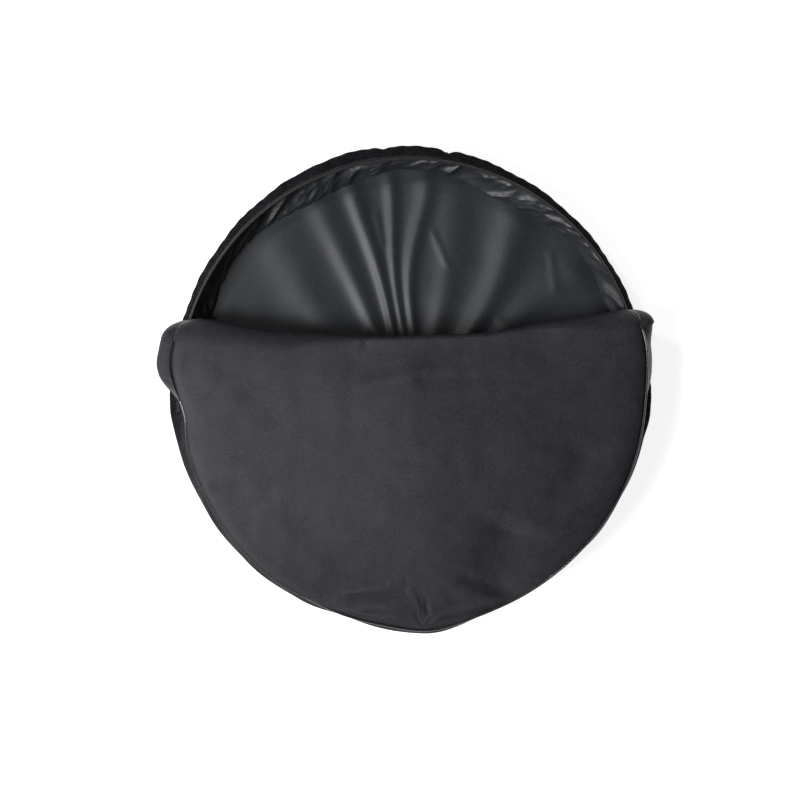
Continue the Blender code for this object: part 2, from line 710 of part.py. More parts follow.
def add_box(name, low, high, collection=cutters):
    """A box between two corners: x out from the bag, y the way it travels, z up."""
    bpy.ops.mesh.primitive_cube_add(size=1)
    box = bpy.context.object
    box.name = name
    for owner in list(box.users_collection):
        owner.objects.unlink(box)
    collection.objects.link(box)
    middle = (Vector(low) + Vector(high)) / 2
    size = Vector(high) - Vector(low)
    box.data.transform(Matrix.Translation(middle) @ Matrix.Diagonal((*size, 1)))
    if collection is cutters:
        box.hide_render = True
        box.display_type = "WIRE"
    return box


def combine(base, tool, operation):
    change = base.modifiers.new(tool.name, "BOOLEAN")
    change.object = tool
    change.operation = operation
    change.solver = "EXACT"


def bake(thing):
    """Apply a thing's modifiers, and return its mesh in a bmesh."""
    bpy.context.view_layer.update()
    evaluated = thing.evaluated_get(bpy.context.evaluated_depsgraph_get())
    mesh = bpy.data.meshes.new_from_object(evaluated)
    shape = bmesh.new()
    shape.from_mesh(mesh)
    bpy.data.meshes.remove(mesh)
    return shape


def slider_plate(name, near, far):
    """A plate that narrows towards its tail, with a lip along its top and bottom."""
    half = SLIDER_LENGTH / 2
    plate = add_box(name, (near, -half, -SLIDER_HALF_HEIGHT), (far, half, SLIDER_HALF_HEIGHT))
    for vertex in plate.data.vertices:
        if vertex.co.y < 0:
            vertex.co.z *= SLIDER_TAIL_HALF_HEIGHT / SLIDER_HALF_HEIGHT
    return plate


def slider_shape():
    half = SLIDER_LENGTH / 2
    body = slider_plate("slider_body", CHANNEL_HALF, PLATE_FACE)
    inner = slider_plate("slider_inner", -PLATE_FACE, -CHANNEL_HALF)
    combine(body, inner, "UNION")
    tape_half = TAPE_THICKNESS / 2 + TAPE_ROOM
    lip_bottom = CHAIN_BASE + SEWN_GAP
    for up in (-1, 1):
        for out in (-1, 1):
            x = sorted((out * tape_half, out * (CHANNEL_HALF + BOOLEAN_OVERLAP)))
            z = sorted((up * lip_bottom, up * (lip_bottom + LIP_HEIGHT)))
            lip = add_box(f"lip_{up}_{out}", (x[0], -half, z[0]), (x[1], half, z[1]))
            combine(body, lip, "UNION")
    post_low = TOOTH_RISE / 2 + SLIDER_CLEARANCE / 2
    nose = half - POST_SETBACK
    reach = CHANNEL_HALF + BOOLEAN_OVERLAP
    post = add_box("post", (-reach, nose - POST_LENGTH, post_low),
                   (reach, nose, post_low + POST_HEIGHT))
    combine(body, post, "UNION")
    top = PLATE_FACE + LOOP_ROOM
    half_loop, half_width = LOOP_LENGTH / 2, LOOP_WIDTH / 2
    bar = add_box("loop_bar", (top, -half_loop, -half_width),
                  (top + LOOP_THICKNESS, half_loop, half_width))
    combine(body, bar, "UNION")
    for end in (-1, 1):
        y = sorted((end * half_loop, end * (half_loop - LOOP_FOOT)))
        foot = add_box(f"loop_foot_{end}", (PLATE_FACE - BOOLEAN_OVERLAP, y[0], -half_width),
                       (top + BOOLEAN_OVERLAP, y[1], half_width))
        combine(body, foot, "UNION")
    return bake(body)


def pull_shape():
    """A flat tab that narrows to its tip, with an eye for the loop and a hole for a cord."""
    half_bar = PULL_THICKNESS / 2
    tab = add_box("pull_body", (-half_bar, -PULL_LENGTH, -PULL_WIDTH / 2),
                  (half_bar, half_bar, PULL_WIDTH / 2))
    for vertex in tab.data.vertices:
        if vertex.co.y < 0:
            vertex.co.z *= PULL_TIP_WIDTH / PULL_WIDTH
    softened = tab.modifiers.new("softened", "BEVEL")
    softened.width = PULL_BEVEL
    softened.segments = 1
    eye = add_box("eye", (-PULL_THICKNESS, -half_bar - PULL_EYE_LENGTH, -PULL_EYE_WIDTH / 2),
                  (PULL_THICKNESS, -half_bar, PULL_EYE_WIDTH / 2))
    combine(tab, eye, "DIFFERENCE")
    bpy.ops.mesh.primitive_cylinder_add(vertices=10, radius=PULL_HOLE_RADIUS,
                                        depth=4 * PULL_THICKNESS)
    hole = bpy.context.object
    hole.name = "cord_hole"
    hole.hide_render = True
    hole.display_type = "WIRE"
    for owner in list(hole.users_collection):
        owner.objects.unlink(hole)
    cutters.objects.link(hole)
    hole.rotation_euler.y = math.radians(90)
    hole.location.y = PULL_TIP_WIDTH / 2 + PULL_HOLE_RADIUS / 2 - PULL_LENGTH
    combine(tab, hole, "DIFFERENCE")
    return bake(tab)


def build_sliders():
    right_slider = slider_shape()
    right_pull = pull_shape()
    for name, side in (("right", 1), ("left", -1)):
        axle = bpy.data.objects.new(name + "_slider_axis", None)
        parts.objects.link(axle)
        axle.location.z = ZIP_Z
        axle.rotation_euler.z = math.radians(side * SLIDER_REST_ANGLE)
        slider = right_slider.copy()
        bmesh.ops.translate(slider, verts=slider.verts, vec=(SLIDER_RADIUS, 0, 0))
        add_part(name + "_slider", at_side(slider, side), ZINC, axle)

        pin = bpy.data.objects.new(name + "_pull_axis", None)
        parts.objects.link(pin)
        pin.parent = axle
        pin.location.x = side * (SLIDER_RADIUS + PULL_AXIS)
        add_part(name + "_pull", at_side(right_pull.copy(), side), ZINC, pin)
    right_slider.free()
    right_pull.free()


build_wall()
build_back()
build_fold()
build_front()
build_front_piping()
build_wings()
build_rear_zip()
build_tabs()
build_flap()
build_handle()
build_sliders()
bpy.context.view_layer.update()
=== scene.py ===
# A round padded bag lying on its back, unzipped, seen from straight above.
# The upper part of its front panel is folded over a soft roll and tucked inside.
import math

import bmesh
import bpy
from mathutils import Matrix, Vector, noise


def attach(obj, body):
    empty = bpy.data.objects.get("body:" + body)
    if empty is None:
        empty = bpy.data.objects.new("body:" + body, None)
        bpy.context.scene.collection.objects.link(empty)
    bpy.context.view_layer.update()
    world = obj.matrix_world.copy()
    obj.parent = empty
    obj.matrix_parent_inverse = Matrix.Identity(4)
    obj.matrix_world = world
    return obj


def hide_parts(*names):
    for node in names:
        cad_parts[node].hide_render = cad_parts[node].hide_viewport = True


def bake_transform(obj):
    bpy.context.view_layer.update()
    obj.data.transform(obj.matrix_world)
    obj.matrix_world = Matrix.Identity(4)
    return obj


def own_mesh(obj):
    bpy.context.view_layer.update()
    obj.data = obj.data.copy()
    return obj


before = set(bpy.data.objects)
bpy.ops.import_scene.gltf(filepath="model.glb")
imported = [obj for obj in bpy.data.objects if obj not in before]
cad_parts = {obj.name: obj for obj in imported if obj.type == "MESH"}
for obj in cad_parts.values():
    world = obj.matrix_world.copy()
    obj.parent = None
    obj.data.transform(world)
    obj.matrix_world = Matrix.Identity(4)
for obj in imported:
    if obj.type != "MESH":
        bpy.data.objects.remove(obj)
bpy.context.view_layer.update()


# Front cloth
# Matte polyester, cut as one piece with the flap. It is sewn into the front seam over
# foam, and turns in at the mouth over a soft roll that nothing creases.

SEAM_RADIUS = 0.3765
SEAM_HEIGHT = 0.0920
BAG_DEPTH = 0.094
OUTER_THICKNESS = 0.0012
FOLD_HEIGHT = 0.0645
FOLD_BOW = 0.028
FOLD_TILT = 0.0065
ROLL_RADIUS = 0.0235
ROLL_BOTTOM = BAG_DEPTH - 2 * ROLL_RADIUS
ROLL_INSET_LEFT = 0.042          # how much the panel's corner is rounded off, each side
ROLL_INSET_RIGHT = 0.028
FLAP_SWING = math.radians(178)
FLAP_HALF_WIDTH = 0.3354
HINGE_Y = 0.110414
HINGE_Z = 0.0705
HUB = Vector((0.0, 0.016))
HUB_RISE = 0.0052
RIDGE_FOOT = Vector((0.032, -0.3692))
RIDGE_RISE = 0.0160              # the cloth is drawn over the contents like a low roof
RIDGE_SOFTNESS = 0.011


def smoothstep(value):
    value = min(max(value, 0.0), 1.0)
    return value * value * (3 - 2 * value)


def mix(low, high, share):
    return low + (high - low) * share


def bump(value, middle, width):
    """A smooth hump of height 1."""
    return math.exp(-((value - middle) / width) ** 2)


def polar(radius, angle, height=0.0):
    turn = math.radians(angle)
    return Vector((radius * math.cos(turn), radius * math.sin(turn), height))


def seam_radius(angle):
    """The front seam isn't a true circle: slack at the left, and pulled out at the foot."""
    angle %= 360
    return (SEAM_RADIUS - 0.0090 * bump(angle, 205, 24) + 0.0090 * bump(angle, 275, 9)
            - 0.0085 * bump(angle, 187, 6) + 0.0115 * bump(angle, 172, 7)
            + 0.0080 * bump((angle + 180) % 360, 192, 9) + 0.0020 * bump(angle, 330, 18)
            - 0.0042 * bump(angle, 242, 13) - 0.0036 * bump(angle, 318, 30))


def fold_line(x):
    """The fold's line across the bag: it bows up at both ends, and sooner at the right."""
    share = x / SEAM_RADIUS
    lift = 0.0095 * smoothstep((share - 0.25) / 0.40) + 0.0040 * smoothstep((-share - 0.6) / 0.25)
    return FOLD_HEIGHT + FOLD_BOW * abs(share) ** 2.2 + FOLD_TILT * share + lift


def roll_spread(x):
    """The roll is pressed narrow in the middle, and fuller at its ends, most at the left."""
    return (0.029 * smoothstep((-x - 0.05) / 0.16) + 0.020 * smoothstep((x - 0.20) / 0.14)
            - 0.0135)


def seam_turn(side):
    """Degrees round the seam from its foot to the fold, at the right (1) or left (-1)."""
    low, high = 90.0, 130.0
    for _ in range(30):
        middle = (low + high) / 2
        angle = side * middle - 90.0
        point = polar(seam_radius(angle), angle)
        if point.y < fold_line(point.x) - roll_spread(point.x):
            low = middle
        else:
            high = middle
    return low


FOLD_TURN_RIGHT = seam_turn(1)
FOLD_TURN_LEFT = seam_turn(-1)


def crease(x, y, start, end, width, height):
    """A soft ridge (or a tuck, if height is negative) between two points."""
    a, b = Vector(start), Vector(end)
    run = b - a
    along = (Vector((x, y)) - a).dot(run) / run.length_squared
    away = (Vector((x, y)) - a - run * min(max(along, 0.0), 1.0)).length
    ends = smoothstep(along * 4 + 0.5) * smoothstep((1 - along) * 4 + 0.5)
    return height * bump(away, 0, width) * ends


FRONT_CREASES = (
    ((-0.088, 0.006), (-0.020, 0.022), 0.007, 0.0016),
    ((-0.020, 0.022), (0.032, 0.034), 0.006, 0.0022),
    ((0.012, 0.016), (0.104, 0.018), 0.010, -0.0016),
    ((-0.066, 0.088), (-0.072, 0.066), 0.004, -0.0022),
    ((-0.290, -0.110), (-0.170, -0.240), 0.018, 0.0008),
    ((-0.250, -0.190), (-0.120, -0.300), 0.016, 0.0008),
    ((-0.330, 0.030), (-0.240, -0.060), 0.020, 0.0016),
    ((0.200, -0.250), (0.290, -0.090), 0.026, -0.0016),
    ((-0.317, -0.158), (-0.216, -0.168), 0.012, -0.0022),
    ((0.126, -0.322), (0.165, -0.215), 0.048, -0.0080),
    ((0.062, -0.335), (0.100, -0.300), 0.014, -0.0014),
    ((-0.104, -0.326), (-0.008, -0.316), 0.005, 0.0019),
    ((-0.086, -0.350), (-0.008, -0.351), 0.0045, 0.0017),
    ((-0.036, -0.310), (-0.012, -0.304), 0.004, 0.0014),
    ((-0.002, -0.316), (0.018, -0.352), 0.0045, 0.0018),
    ((0.024, -0.330), (0.029, -0.360), 0.003, -0.0018),
)
PUCKER_FOOT = Vector((0.020, -0.385))


def front_height(x, y):
    """Height of the front over the contents, its hub, its ridge and its small creases."""
    away = Vector((x, y)) - HUB
    reach = SEAM_RADIUS - HUB.y
    share = max(0.0, 1 - away.length / reach)
    foot = RIDGE_FOOT - HUB
    down = foot.normalized()
    across = away.dot(Vector((-down.y, down.x)))
    slope = 1 - (math.hypot(across, RIDGE_SOFTNESS) - RIDGE_SOFTNESS) / SEAM_RADIUS
    ridge = max(slope, 0.0) * mix(0.35, 1.0, smoothstep(away.dot(down) / foot.length * 3 + 0.5))
    height = (HUB_RISE * share ** 1.3
              + RIDGE_RISE * ridge * (1 - math.exp(-share * 5)))

    edge = seam_radius(math.degrees(math.atan2(y, x))) - math.hypot(x, y)
    pillow = 0.0062 * (1 - math.exp(-max(edge, 0.0) / 0.014))

    fan = Vector((x, y)) - PUCKER_FOOT
    reach_of_fan = math.exp(-fan.length / 0.030) * smoothstep(fan.length / 0.012)
    way = math.atan2(fan.x, fan.y)
    puckers = (0.0014 * reach_of_fan * math.sin(way * 17 + 2 * math.sin(way * 5))
               * (0.35 + 0.65 * smoothstep(0.5 - way)))

    small = sum(crease(x, y, *line) for line in FRONT_CREASES)
    uneven = (0.0011 * noise.noise(Vector((x * 13, y * 10, 1)))
              + 0.0004 * noise.noise(Vector((x * 38, y * 30, 5)))) * smoothstep(edge / 0.03)
    return SEAM_HEIGHT + pillow + height + puckers + small + uneven


def seam_row(turn_left, turn_right, share):
    """A point across the panel, between two points of its seam, each given from the foot."""
    left_angle, right_angle = -90.0 - turn_left, -90.0 + turn_right
    left = polar(seam_radius(left_angle), left_angle)
    right = polar(seam_radius(right_angle), right_angle)
    return left.lerp(right, share)


ROLL_EASE = 0.026                # length over which the panel levels out into the roll


def slackness(x):
    """0 in the middle of the fold, which lies tight, and 1 where it is full and round."""
    return smoothstep(abs(x - 0.02) / 0.16 - 0.5)


def front_point(across, along, depth):
    point = seam_row(FOLD_TURN_LEFT * along, FOLD_TURN_RIGHT * along, across)
    end = seam_row(FOLD_TURN_LEFT, FOLD_TURN_RIGHT, across)
    short = fold_line(end.x) - roll_spread(end.x) - end.y
    point.y += short * smoothstep((along - 0.35) / 0.65)
    start = fold_line(point.x) - roll_spread(point.x)
    to_fold = start - point.y
    ease = ROLL_EASE * mix(0.45, 1.0, slackness(point.x))
    if to_fold < ease:
        to_fold = max(to_fold, 0) ** 2 / (2 * ease) + ease / 2
    point.z = front_height(point.x, start - to_fold) - depth
    return point


def flap_point(across, along, depth):
    """The flap is laid out closed, and then turned in about its hinge."""
    closed_left = 2 * HINGE_Y - fold_line(-FLAP_HALF_WIDTH)
    closed_right = 2 * HINGE_Y - fold_line(FLAP_HALF_WIDTH)
    low_left = 90 + math.degrees(math.asin(closed_left / SEAM_RADIUS))
    low_right = 90 + math.degrees(math.asin(closed_right / SEAM_RADIUS))
    point = seam_row(mix(low_left, 180, along), mix(low_right, 180, along), across)
    start = seam_row(low_left, low_right, across)
    point.y += (2 * HINGE_Y - fold_line(start.x) - start.y) * (1 - smoothstep(along * 1.6))
    point.x = min(max(point.x, -FLAP_HALF_WIDTH), FLAP_HALF_WIDTH)
    edge = SEAM_RADIUS - math.hypot(point.x, point.y)
    top = SEAM_HEIGHT + 0.0028 * (1 - math.exp(-max(edge, 0.0) / 0.008)) - depth
    y, z = point.y - HINGE_Y, top - HINGE_Z
    cos, sin = math.cos(FLAP_SWING), math.sin(FLAP_SWING)
    return Vector((point.x, HINGE_Y + y * cos - z * sin, HINGE_Z + y * sin + z * cos))


def roll_point(across, turn, depth):
    """A point on the roll, whose turn is 0 at the front panel and pi at the flap."""
    start = front_point(across, 1.0, 0)
    inset = mix(ROLL_INSET_LEFT, ROLL_INSET_RIGHT, across)
    shorter = 1 - inset / SEAM_RADIUS * (1 - math.cos(min(turn, math.pi / 2)))
    middle = (start.z + ROLL_BOTTOM) / 2
    half = (start.z - ROLL_BOTTOM) / 2
    softness = 1 + 0.05 * math.sin(start.x * 31) * math.sin(turn)
    reach = ROLL_RADIUS * softness + roll_spread(start.x)
    squareness = mix(0.62, 1.0, slackness(start.x))
    out, up = max(math.sin(turn), 0.0), math.cos(turn)
    return Vector((
        start.x * shorter,
        start.y + (reach - depth) * out ** squareness,
        middle + (half - depth) * math.copysign(abs(up) ** squareness, up),
    ))


FRONT_ROWS = 96
ROLL_ROWS = 40
FLAP_ROWS = 56
FRONT_COLUMNS = 150


def folded_point(across, row, depth):
    """A point of the whole front: the panel, then the roll, then the tucked flap."""
    if row <= FRONT_ROWS:
        return front_point(across, row / FRONT_ROWS, depth)
    if row <= FRONT_ROWS + ROLL_ROWS:
        share = (row - FRONT_ROWS) / ROLL_ROWS
        joined = flap_point(across, 0, depth) - roll_point(across, math.pi, depth)
        return roll_point(across, math.pi * share, depth) + joined * share ** 3
    return flap_point(across, (row - FRONT_ROWS - ROLL_ROWS) / FLAP_ROWS, depth)


def shaped_grid(name, columns, rows, place, flat, reverse=False):
    """A grid that a function puts in place, with its flat cloth's metres as its UV map."""
    shape = bmesh.new()
    bmesh.ops.create_grid(shape, x_segments=columns, y_segments=rows, size=1)
    cut = shape.loops.layers.uv.new("flat")
    for face in shape.faces:
        for loop in face.loops:
            loop[cut].uv = ((loop.vert.co.x + 1) / 2 * flat[0], (loop.vert.co.y + 1) / 2 * flat[1])
    for vertex in shape.verts:
        vertex.co = place((vertex.co.x + 1) / 2, (vertex.co.y + 1) / 2)
    bmesh.ops.remove_doubles(shape, verts=shape.verts, dist=0.00001)
    if reverse:
        bmesh.ops.reverse_faces(shape, faces=shape.faces)
    return finished(name, shape)


def new_object(name, data):
    made = bpy.data.objects.new(name, data)
    bpy.context.scene.collection.objects.link(made)
    return made


def finished(name, shape):
    """Turn a shape into a smooth object of its own."""
    for face in shape.faces:
        face.smooth = True
    mesh = bpy.data.meshes.new(name)
    shape.to_mesh(mesh)
    shape.free()
    return new_object(name, mesh)


def linear(colour):
    """Turn an sRGB hex colour into the linear one that a shader works in."""
    parts = [int(colour[k:k + 2], 16) / 255 for k in (1, 3, 5)]
    parts = [c / 12.92 if c <= 0.04045 else ((c + 0.055) / 1.055) ** 2.4 for c in parts]
    return (*parts, 1.0)


def set_inputs(node, inputs):
    """Set a node's inputs; each is a number, a colour or another node's output."""
    for key, value in inputs.items():
        if isinstance(value, bpy.types.NodeSocket):
            node.id_data.links.new(value, node.inputs[key])
        else:
            node.inputs[key].default_value = value


def add_node(material, kind, inputs=(), **settings):
    """Add a node with its settings and its inputs."""
    node = material.node_tree.nodes.new(kind)
    for name, value in settings.items():
        setattr(node, name, value)
    set_inputs(node, dict(inputs))
    return node


def place_in(material, space):
    return add_node(material, "ShaderNodeTexCoord").outputs[space]


def noise_at(material, place, scale, **more):
    return add_node(material, "ShaderNodeTexNoise",
                    {"Vector": place, "Scale": scale, **more}).outputs["Fac"]


def reckoned(material, operation, first, second):
    return add_node(material, "ShaderNodeMath", {0: first, 1: second},
                    operation=operation).outputs["Value"]


def tinted(material, share, dark, pale):
    """A colour between two others."""
    return add_node(material, "ShaderNodeMix", {"Factor": share, 6: dark, 7: pale},
                    data_type="RGBA").outputs[2]


def ranged(material, value, **ends):
    """A value put in another range; its ends are from_min, from_max, to_min and to_max."""
    inputs = {key.replace("_", " ").title(): end for key, end in ends.items()}
    return add_node(material, "ShaderNodeMapRange", {"Value": value, **inputs}).outputs["Result"]


def bumped(material, height, strength, distance, **under):
    """A relief that is distance metres deep, over another one if that is given."""
    return add_node(material, "ShaderNodeBump", {"Height": height, "Strength": strength,
                    "Distance": distance, **under}).outputs["Normal"]


def new_material(name):
    """A material with its shader, ready for nodes."""
    material = bpy.data.materials.new(name)
    material.use_nodes = True
    return material, material.node_tree.nodes["Principled BSDF"]


def paint(piece, material):
    piece.data.materials.clear()
    piece.data.materials.append(material)


def dress(piece, material, thickness):
    """Give a sheet its cloth and its wall, inwards from its good side."""
    paint(piece, material)
    wall = piece.modifiers.new("cloth_wall", "SOLIDIFY")
    wall.thickness = thickness
    wall.offset = -1


WAVE_PERIOD = math.tau / 20      # of a wave texture of scale 1, in its own units


def woven_cloth(name, dark, pale, thread, roughness, gloss, depth):
    """Woven cloth: warp and weft at a thread spacing in metres, over uneven dye."""
    material, shader = new_material(name)
    flat, place = place_in(material, "UV"), place_in(material, "Object")
    warp, weft = [add_node(material, "ShaderNodeTexWave", {"Vector": flat,
                           "Scale": WAVE_PERIOD / thread, "Distortion": 1.6, "Detail": 2.0},
                           bands_direction=way).outputs["Fac"] for way in "XY"]
    weave = reckoned(material, "MULTIPLY", warp, weft)
    dye = noise_at(material, place, 24.0, Detail=9.0, Roughness=0.72)
    grain = noise_at(material, place, 330.0, Detail=3.0)
    mottle = reckoned(material, "ADD", dye, grain)
    shade = ranged(material, mottle, from_min=0.80, from_max=1.22)
    tone = tinted(material, shade, linear(dark), linear(pale))
    threads = tinted(material, reckoned(material, "MULTIPLY", weave, 0.35), tone, linear(pale))
    relief = bumped(material, weave, 0.6, depth)
    worn = bumped(material, mottle, 0.5, 0.0006, Normal=relief)
    set_inputs(shader, {"Base Color": threads, "Normal": worn, "Roughness": roughness,
                        "Specular IOR Level": gloss})
    return material


# Matte 600-denier polyester, plain woven and dyed: it takes no shine, and shows a fine
# grain. Its real threads are 0.5 mm apart, too fine to show, so they are drawn at 1 mm.
outer_polyester = woven_cloth("woven_polyester_600d", "#16131a", "#322e37", 0.0010, 0.47,
                              0.50, 0.0003)

FRONT_LENGTH = 0.435 + 0.074 + 0.213      # the panel, the roll and the flap
rows = FRONT_ROWS + ROLL_ROWS + FLAP_ROWS
front_cloth = shaped_grid("front_cloth", FRONT_COLUMNS, rows,
                          lambda u, v: folded_point(u, v * rows, 0),
                          (2 * SEAM_RADIUS, FRONT_LENGTH))
dress(front_cloth, outer_polyester, OUTER_THICKNESS)
BLEND_START = (0, FOLD_HEIGHT, 0.0752)
BLEND_END = (0, FOLD_HEIGHT, 0.0662)
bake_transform(front_cloth)
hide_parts("front_shell", "fold_shell", "flap_shell")


# Foam and lining of the front
# A foam sheet and a thin nylon lining lie under the outer cloth, cut to the same outline
# and turned over the same roll. They are caught in the same seams.

LAYER_GAP = 0.0003
FOAM_DEPTH = OUTER_THICKNESS + LAYER_GAP
FOAM_THICKNESS = 0.0050
LINING_DEPTH = FOAM_DEPTH + FOAM_THICKNESS + LAYER_GAP
LINING_THICKNESS = 0.0008
SEAM_SHARE = 0.994               # the inner layers end just inside the outer one


def layer_point(u, v, depth):
    return folded_point(mix(1 - SEAM_SHARE, SEAM_SHARE, u), mix(1, rows - 1, v), depth)


def part_in_roll(piece):
    """Cut an inner layer open inside the roll, where it would bunch as the flap closes.

    The faces that go are hidden at rest, by the roll's outer cloth.
    """
    shape = bmesh.new()
    shape.from_mesh(piece.data)
    bunched = []
    for face in shape.faces:
        middle = face.calc_center_median()
        in_bend = BLEND_END[2] - 0.0006 < middle.z < BLEND_START[2] + 0.0006
        if in_bend and middle.y > 0.03 and abs(middle.x) < 0.33:
            bunched.append(face)
    bmesh.ops.delete(shape, geom=bunched, context="FACES")
    shape.to_mesh(piece.data)
    shape.free()


# Closed-cell polyethylene foam: dull grey, with small cells that show as pits. The pits are
# coloured darker than the cell walls around them: painted shade in the pits.
def foam_material():
    material, shader = new_material("polyethylene_foam")
    place = place_in(material, "Object")
    cells = add_node(material, "ShaderNodeTexVoronoi",
                     {"Vector": place, "Scale": 420.0}).outputs["Distance"]
    # Darker at the middle of each cell, where the bump sinks a pit: painted shade.
    tone = tinted(material, cells, linear("#55555a"), linear("#6b6b70"))
    set_inputs(shader, {"Base Color": tone, "Normal": bumped(material, cells, 0.5, 0.0005),
                        "Roughness": 0.95})
    return material


# Nylon taffeta: thin and tight, so it reflects softly along its folds. Its threads are
# 0.2 mm apart and are drawn at 1.2 mm.
def lining_material():
    material, shader = new_material("nylon_taffeta_lining")
    flat, place = place_in(material, "UV"), place_in(material, "Object")
    thread = add_node(material, "ShaderNodeTexWave", {"Vector": flat,
                      "Scale": WAVE_PERIOD / 0.0012, "Distortion": 0.6}, bands_direction="Y")
    slub = noise_at(material, place, 190.0, Detail=3.0)
    relief = bumped(material, thread.outputs["Fac"], 0.25, 0.00015)
    set_inputs(shader, {"Base Color": tinted(material, slub, linear("#24262a"), linear("#35383c")),
                        "Normal": bumped(material, slub, 0.3, 0.0004, Normal=relief),
                        "Roughness": ranged(material, slub, to_min=0.42, to_max=0.52),
                        "Specular IOR Level": 0.65})
    return material


polyethylene_foam = foam_material()
nylon_lining = lining_material()

front_foam = shaped_grid("front_foam", 60, 130, lambda u, v: layer_point(u, v, FOAM_DEPTH),
                         (2 * SEAM_RADIUS, FRONT_LENGTH))
part_in_roll(front_foam)
dress(front_foam, polyethylene_foam, FOAM_THICKNESS)
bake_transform(front_foam)
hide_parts("front_padding", "fold_padding", "flap_padding")

front_inside = shaped_grid("front_inside", 100, 190,
                           lambda u, v: layer_point(u, v, LINING_DEPTH),
                           (2 * SEAM_RADIUS, FRONT_LENGTH))
part_in_roll(front_inside)
dress(front_inside, nylon_lining, LINING_THICKNESS)
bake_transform(front_inside)
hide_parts("front_lining", "fold_lining", "flap_lining")


# Hub patch of the front
# A round of the lining's own cloth, doubled and sewn on inside where the hub rubs.

PATCH_RADIUS = 0.041
PATCH_THICKNESS = 0.0014
PATCH_SIDES = 48
PATCH_DEPTH = LINING_DEPTH + LINING_THICKNESS + 0.0002


def round_patch(name, radius, lift):
    """A round patch that follows what it is sewn to, with a row of quilting rings."""
    shape = bmesh.new()
    bmesh.ops.create_circle(shape, cap_ends=True, segments=PATCH_SIDES, radius=radius)
    for _ in range(5):
        middle = [face for face in shape.faces if face.calc_area() > 0.00001
                  and len(face.verts) == PATCH_SIDES]
        bmesh.ops.inset_region(shape, faces=middle, thickness=radius / 6)
    cut = shape.loops.layers.uv.new("flat")
    for face in shape.faces:
        for loop in face.loops:
            loop[cut].uv = loop.vert.co.xy
    for vertex in shape.verts:
        vertex.co.y += HUB.y
        quilted = 0.0003 * math.cos((vertex.co.xy - HUB).length / radius * math.tau * 3)
        vertex.co.z = lift(vertex.co.x, vertex.co.y) + quilted
    return finished(name, shape)


front_patch = round_patch("front_hub_round", PATCH_RADIUS,
                          lambda x, y: front_height(x, y) - PATCH_DEPTH)
dress(front_patch, nylon_lining, PATCH_THICKNESS)
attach(front_patch, "bag")
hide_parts("front_hub_patch")


# Back panel
# The panel that the bag lies on: the same polyester outside, then foam, then lining. The
# lining is cut loose, and lies in broad soft folds that run out from under the mouth.

BACK_RADIUS = 0.3740
BACK_LINING_HEIGHT = 0.0078
FOLD_SOURCE = Vector((0.010, -0.060))
LINING_FOLDS = (
    (150, 9.0, 0.0035), (128, 7.0, 0.0050), (113, 3.6, 0.0050), (104, 2.2, 0.0055),
    (97, 1.7, 0.0045), (90, 2.4, 0.0050), (79, 5.0, 0.0040), (62, 5.0, 0.0075),
    (45, 5.5, 0.0060), (28, 7.0, 0.0060),
)
LINING_CREASES = (
    ((0.035, 0.262), (0.062, 0.200), 0.0060, 0.0012),
    ((-0.056, 0.290), (-0.043, 0.230), 0.0060, 0.0014),
    ((0.229, 0.226), (0.236, 0.160), 0.0070, 0.0010),
    ((0.140, 0.116), (0.182, 0.088), 0.0070, 0.0012),
)


def round_point(radius, across, along):
    """Put a square's grid on a disc, so that its edge runs round the disc's edge."""
    x, y = 2 * across - 1, 2 * along - 1
    return Vector((radius * x * math.sqrt(1 - y * y / 2), radius * y * math.sqrt(1 - x * x / 2), 0))


def lining_folds(x, y):
    away = Vector((x, y)) - FOLD_SOURCE
    angle = math.degrees(math.atan2(away.y, away.x)) % 360
    distance = away.length
    bend = 3.0 * math.sin(distance * 17 + 1.0)
    fade = smoothstep((distance - 0.05) / 0.10) * smoothstep((0.372 - math.hypot(x, y)) / 0.05)
    rise = sum(height * bump(angle + bend * math.sin(middle), middle, width)
               for middle, width, height in LINING_FOLDS)
    ripple = (0.0016 * noise.noise(Vector((x * 9, y * 6, 2)))
              + 0.0003 * noise.noise(Vector((x * 30, y * 22, 8))))
    small = sum(crease(x, y, *line) for line in LINING_CREASES)
    return (rise + ripple + small + 0.0008) * fade


def back_lining_point(u, v):
    point = round_point(BACK_RADIUS, u, v)
    point.z = BACK_LINING_HEIGHT + max(lining_folds(point.x, point.y), 0.0)
    return point


def back_cloth_point(u, v):
    point = round_point(BACK_RADIUS, u, v)
    edge = BACK_RADIUS - math.hypot(point.x, point.y)
    point.z = 0.0002 + 0.0030 * math.exp(-edge / 0.006)
    return point


back_flat = (2 * BACK_RADIUS, 2 * BACK_RADIUS)
back_cloth = shaped_grid("back_cloth", 90, 90, back_cloth_point, back_flat, reverse=True)
dress(back_cloth, outer_polyester, OUTER_THICKNESS)
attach(back_cloth, "bag")
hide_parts("back_shell")


def back_foam_point(u, v):
    point = round_point(BACK_RADIUS - 0.002, u, v)
    point.z = 0.0064
    return point


back_foam = shaped_grid("back_foam", 40, 40, back_foam_point, back_flat)
dress(back_foam, polyethylene_foam, 0.0045)
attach(back_foam, "bag")
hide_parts("back_padding")

back_inside = shaped_grid("back_inside", 210, 210, back_lining_point, back_flat)
dress(back_inside, nylon_lining, LINING_THICKNESS)
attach(back_inside, "bag")
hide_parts("back_lining")

back_patch = round_patch("back_hub_round", PATCH_RADIUS,
                         lambda x, y: BACK_LINING_HEIGHT + 0.0016)
dress(back_patch, nylon_lining, PATCH_THICKNESS)
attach(back_patch, "bag")
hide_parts("back_hub_patch")


# Side wall
# A strip of the same polyester joins the two panels. Over the upper half it ends at the
# zip, and its lining hangs loose inside and puckers.

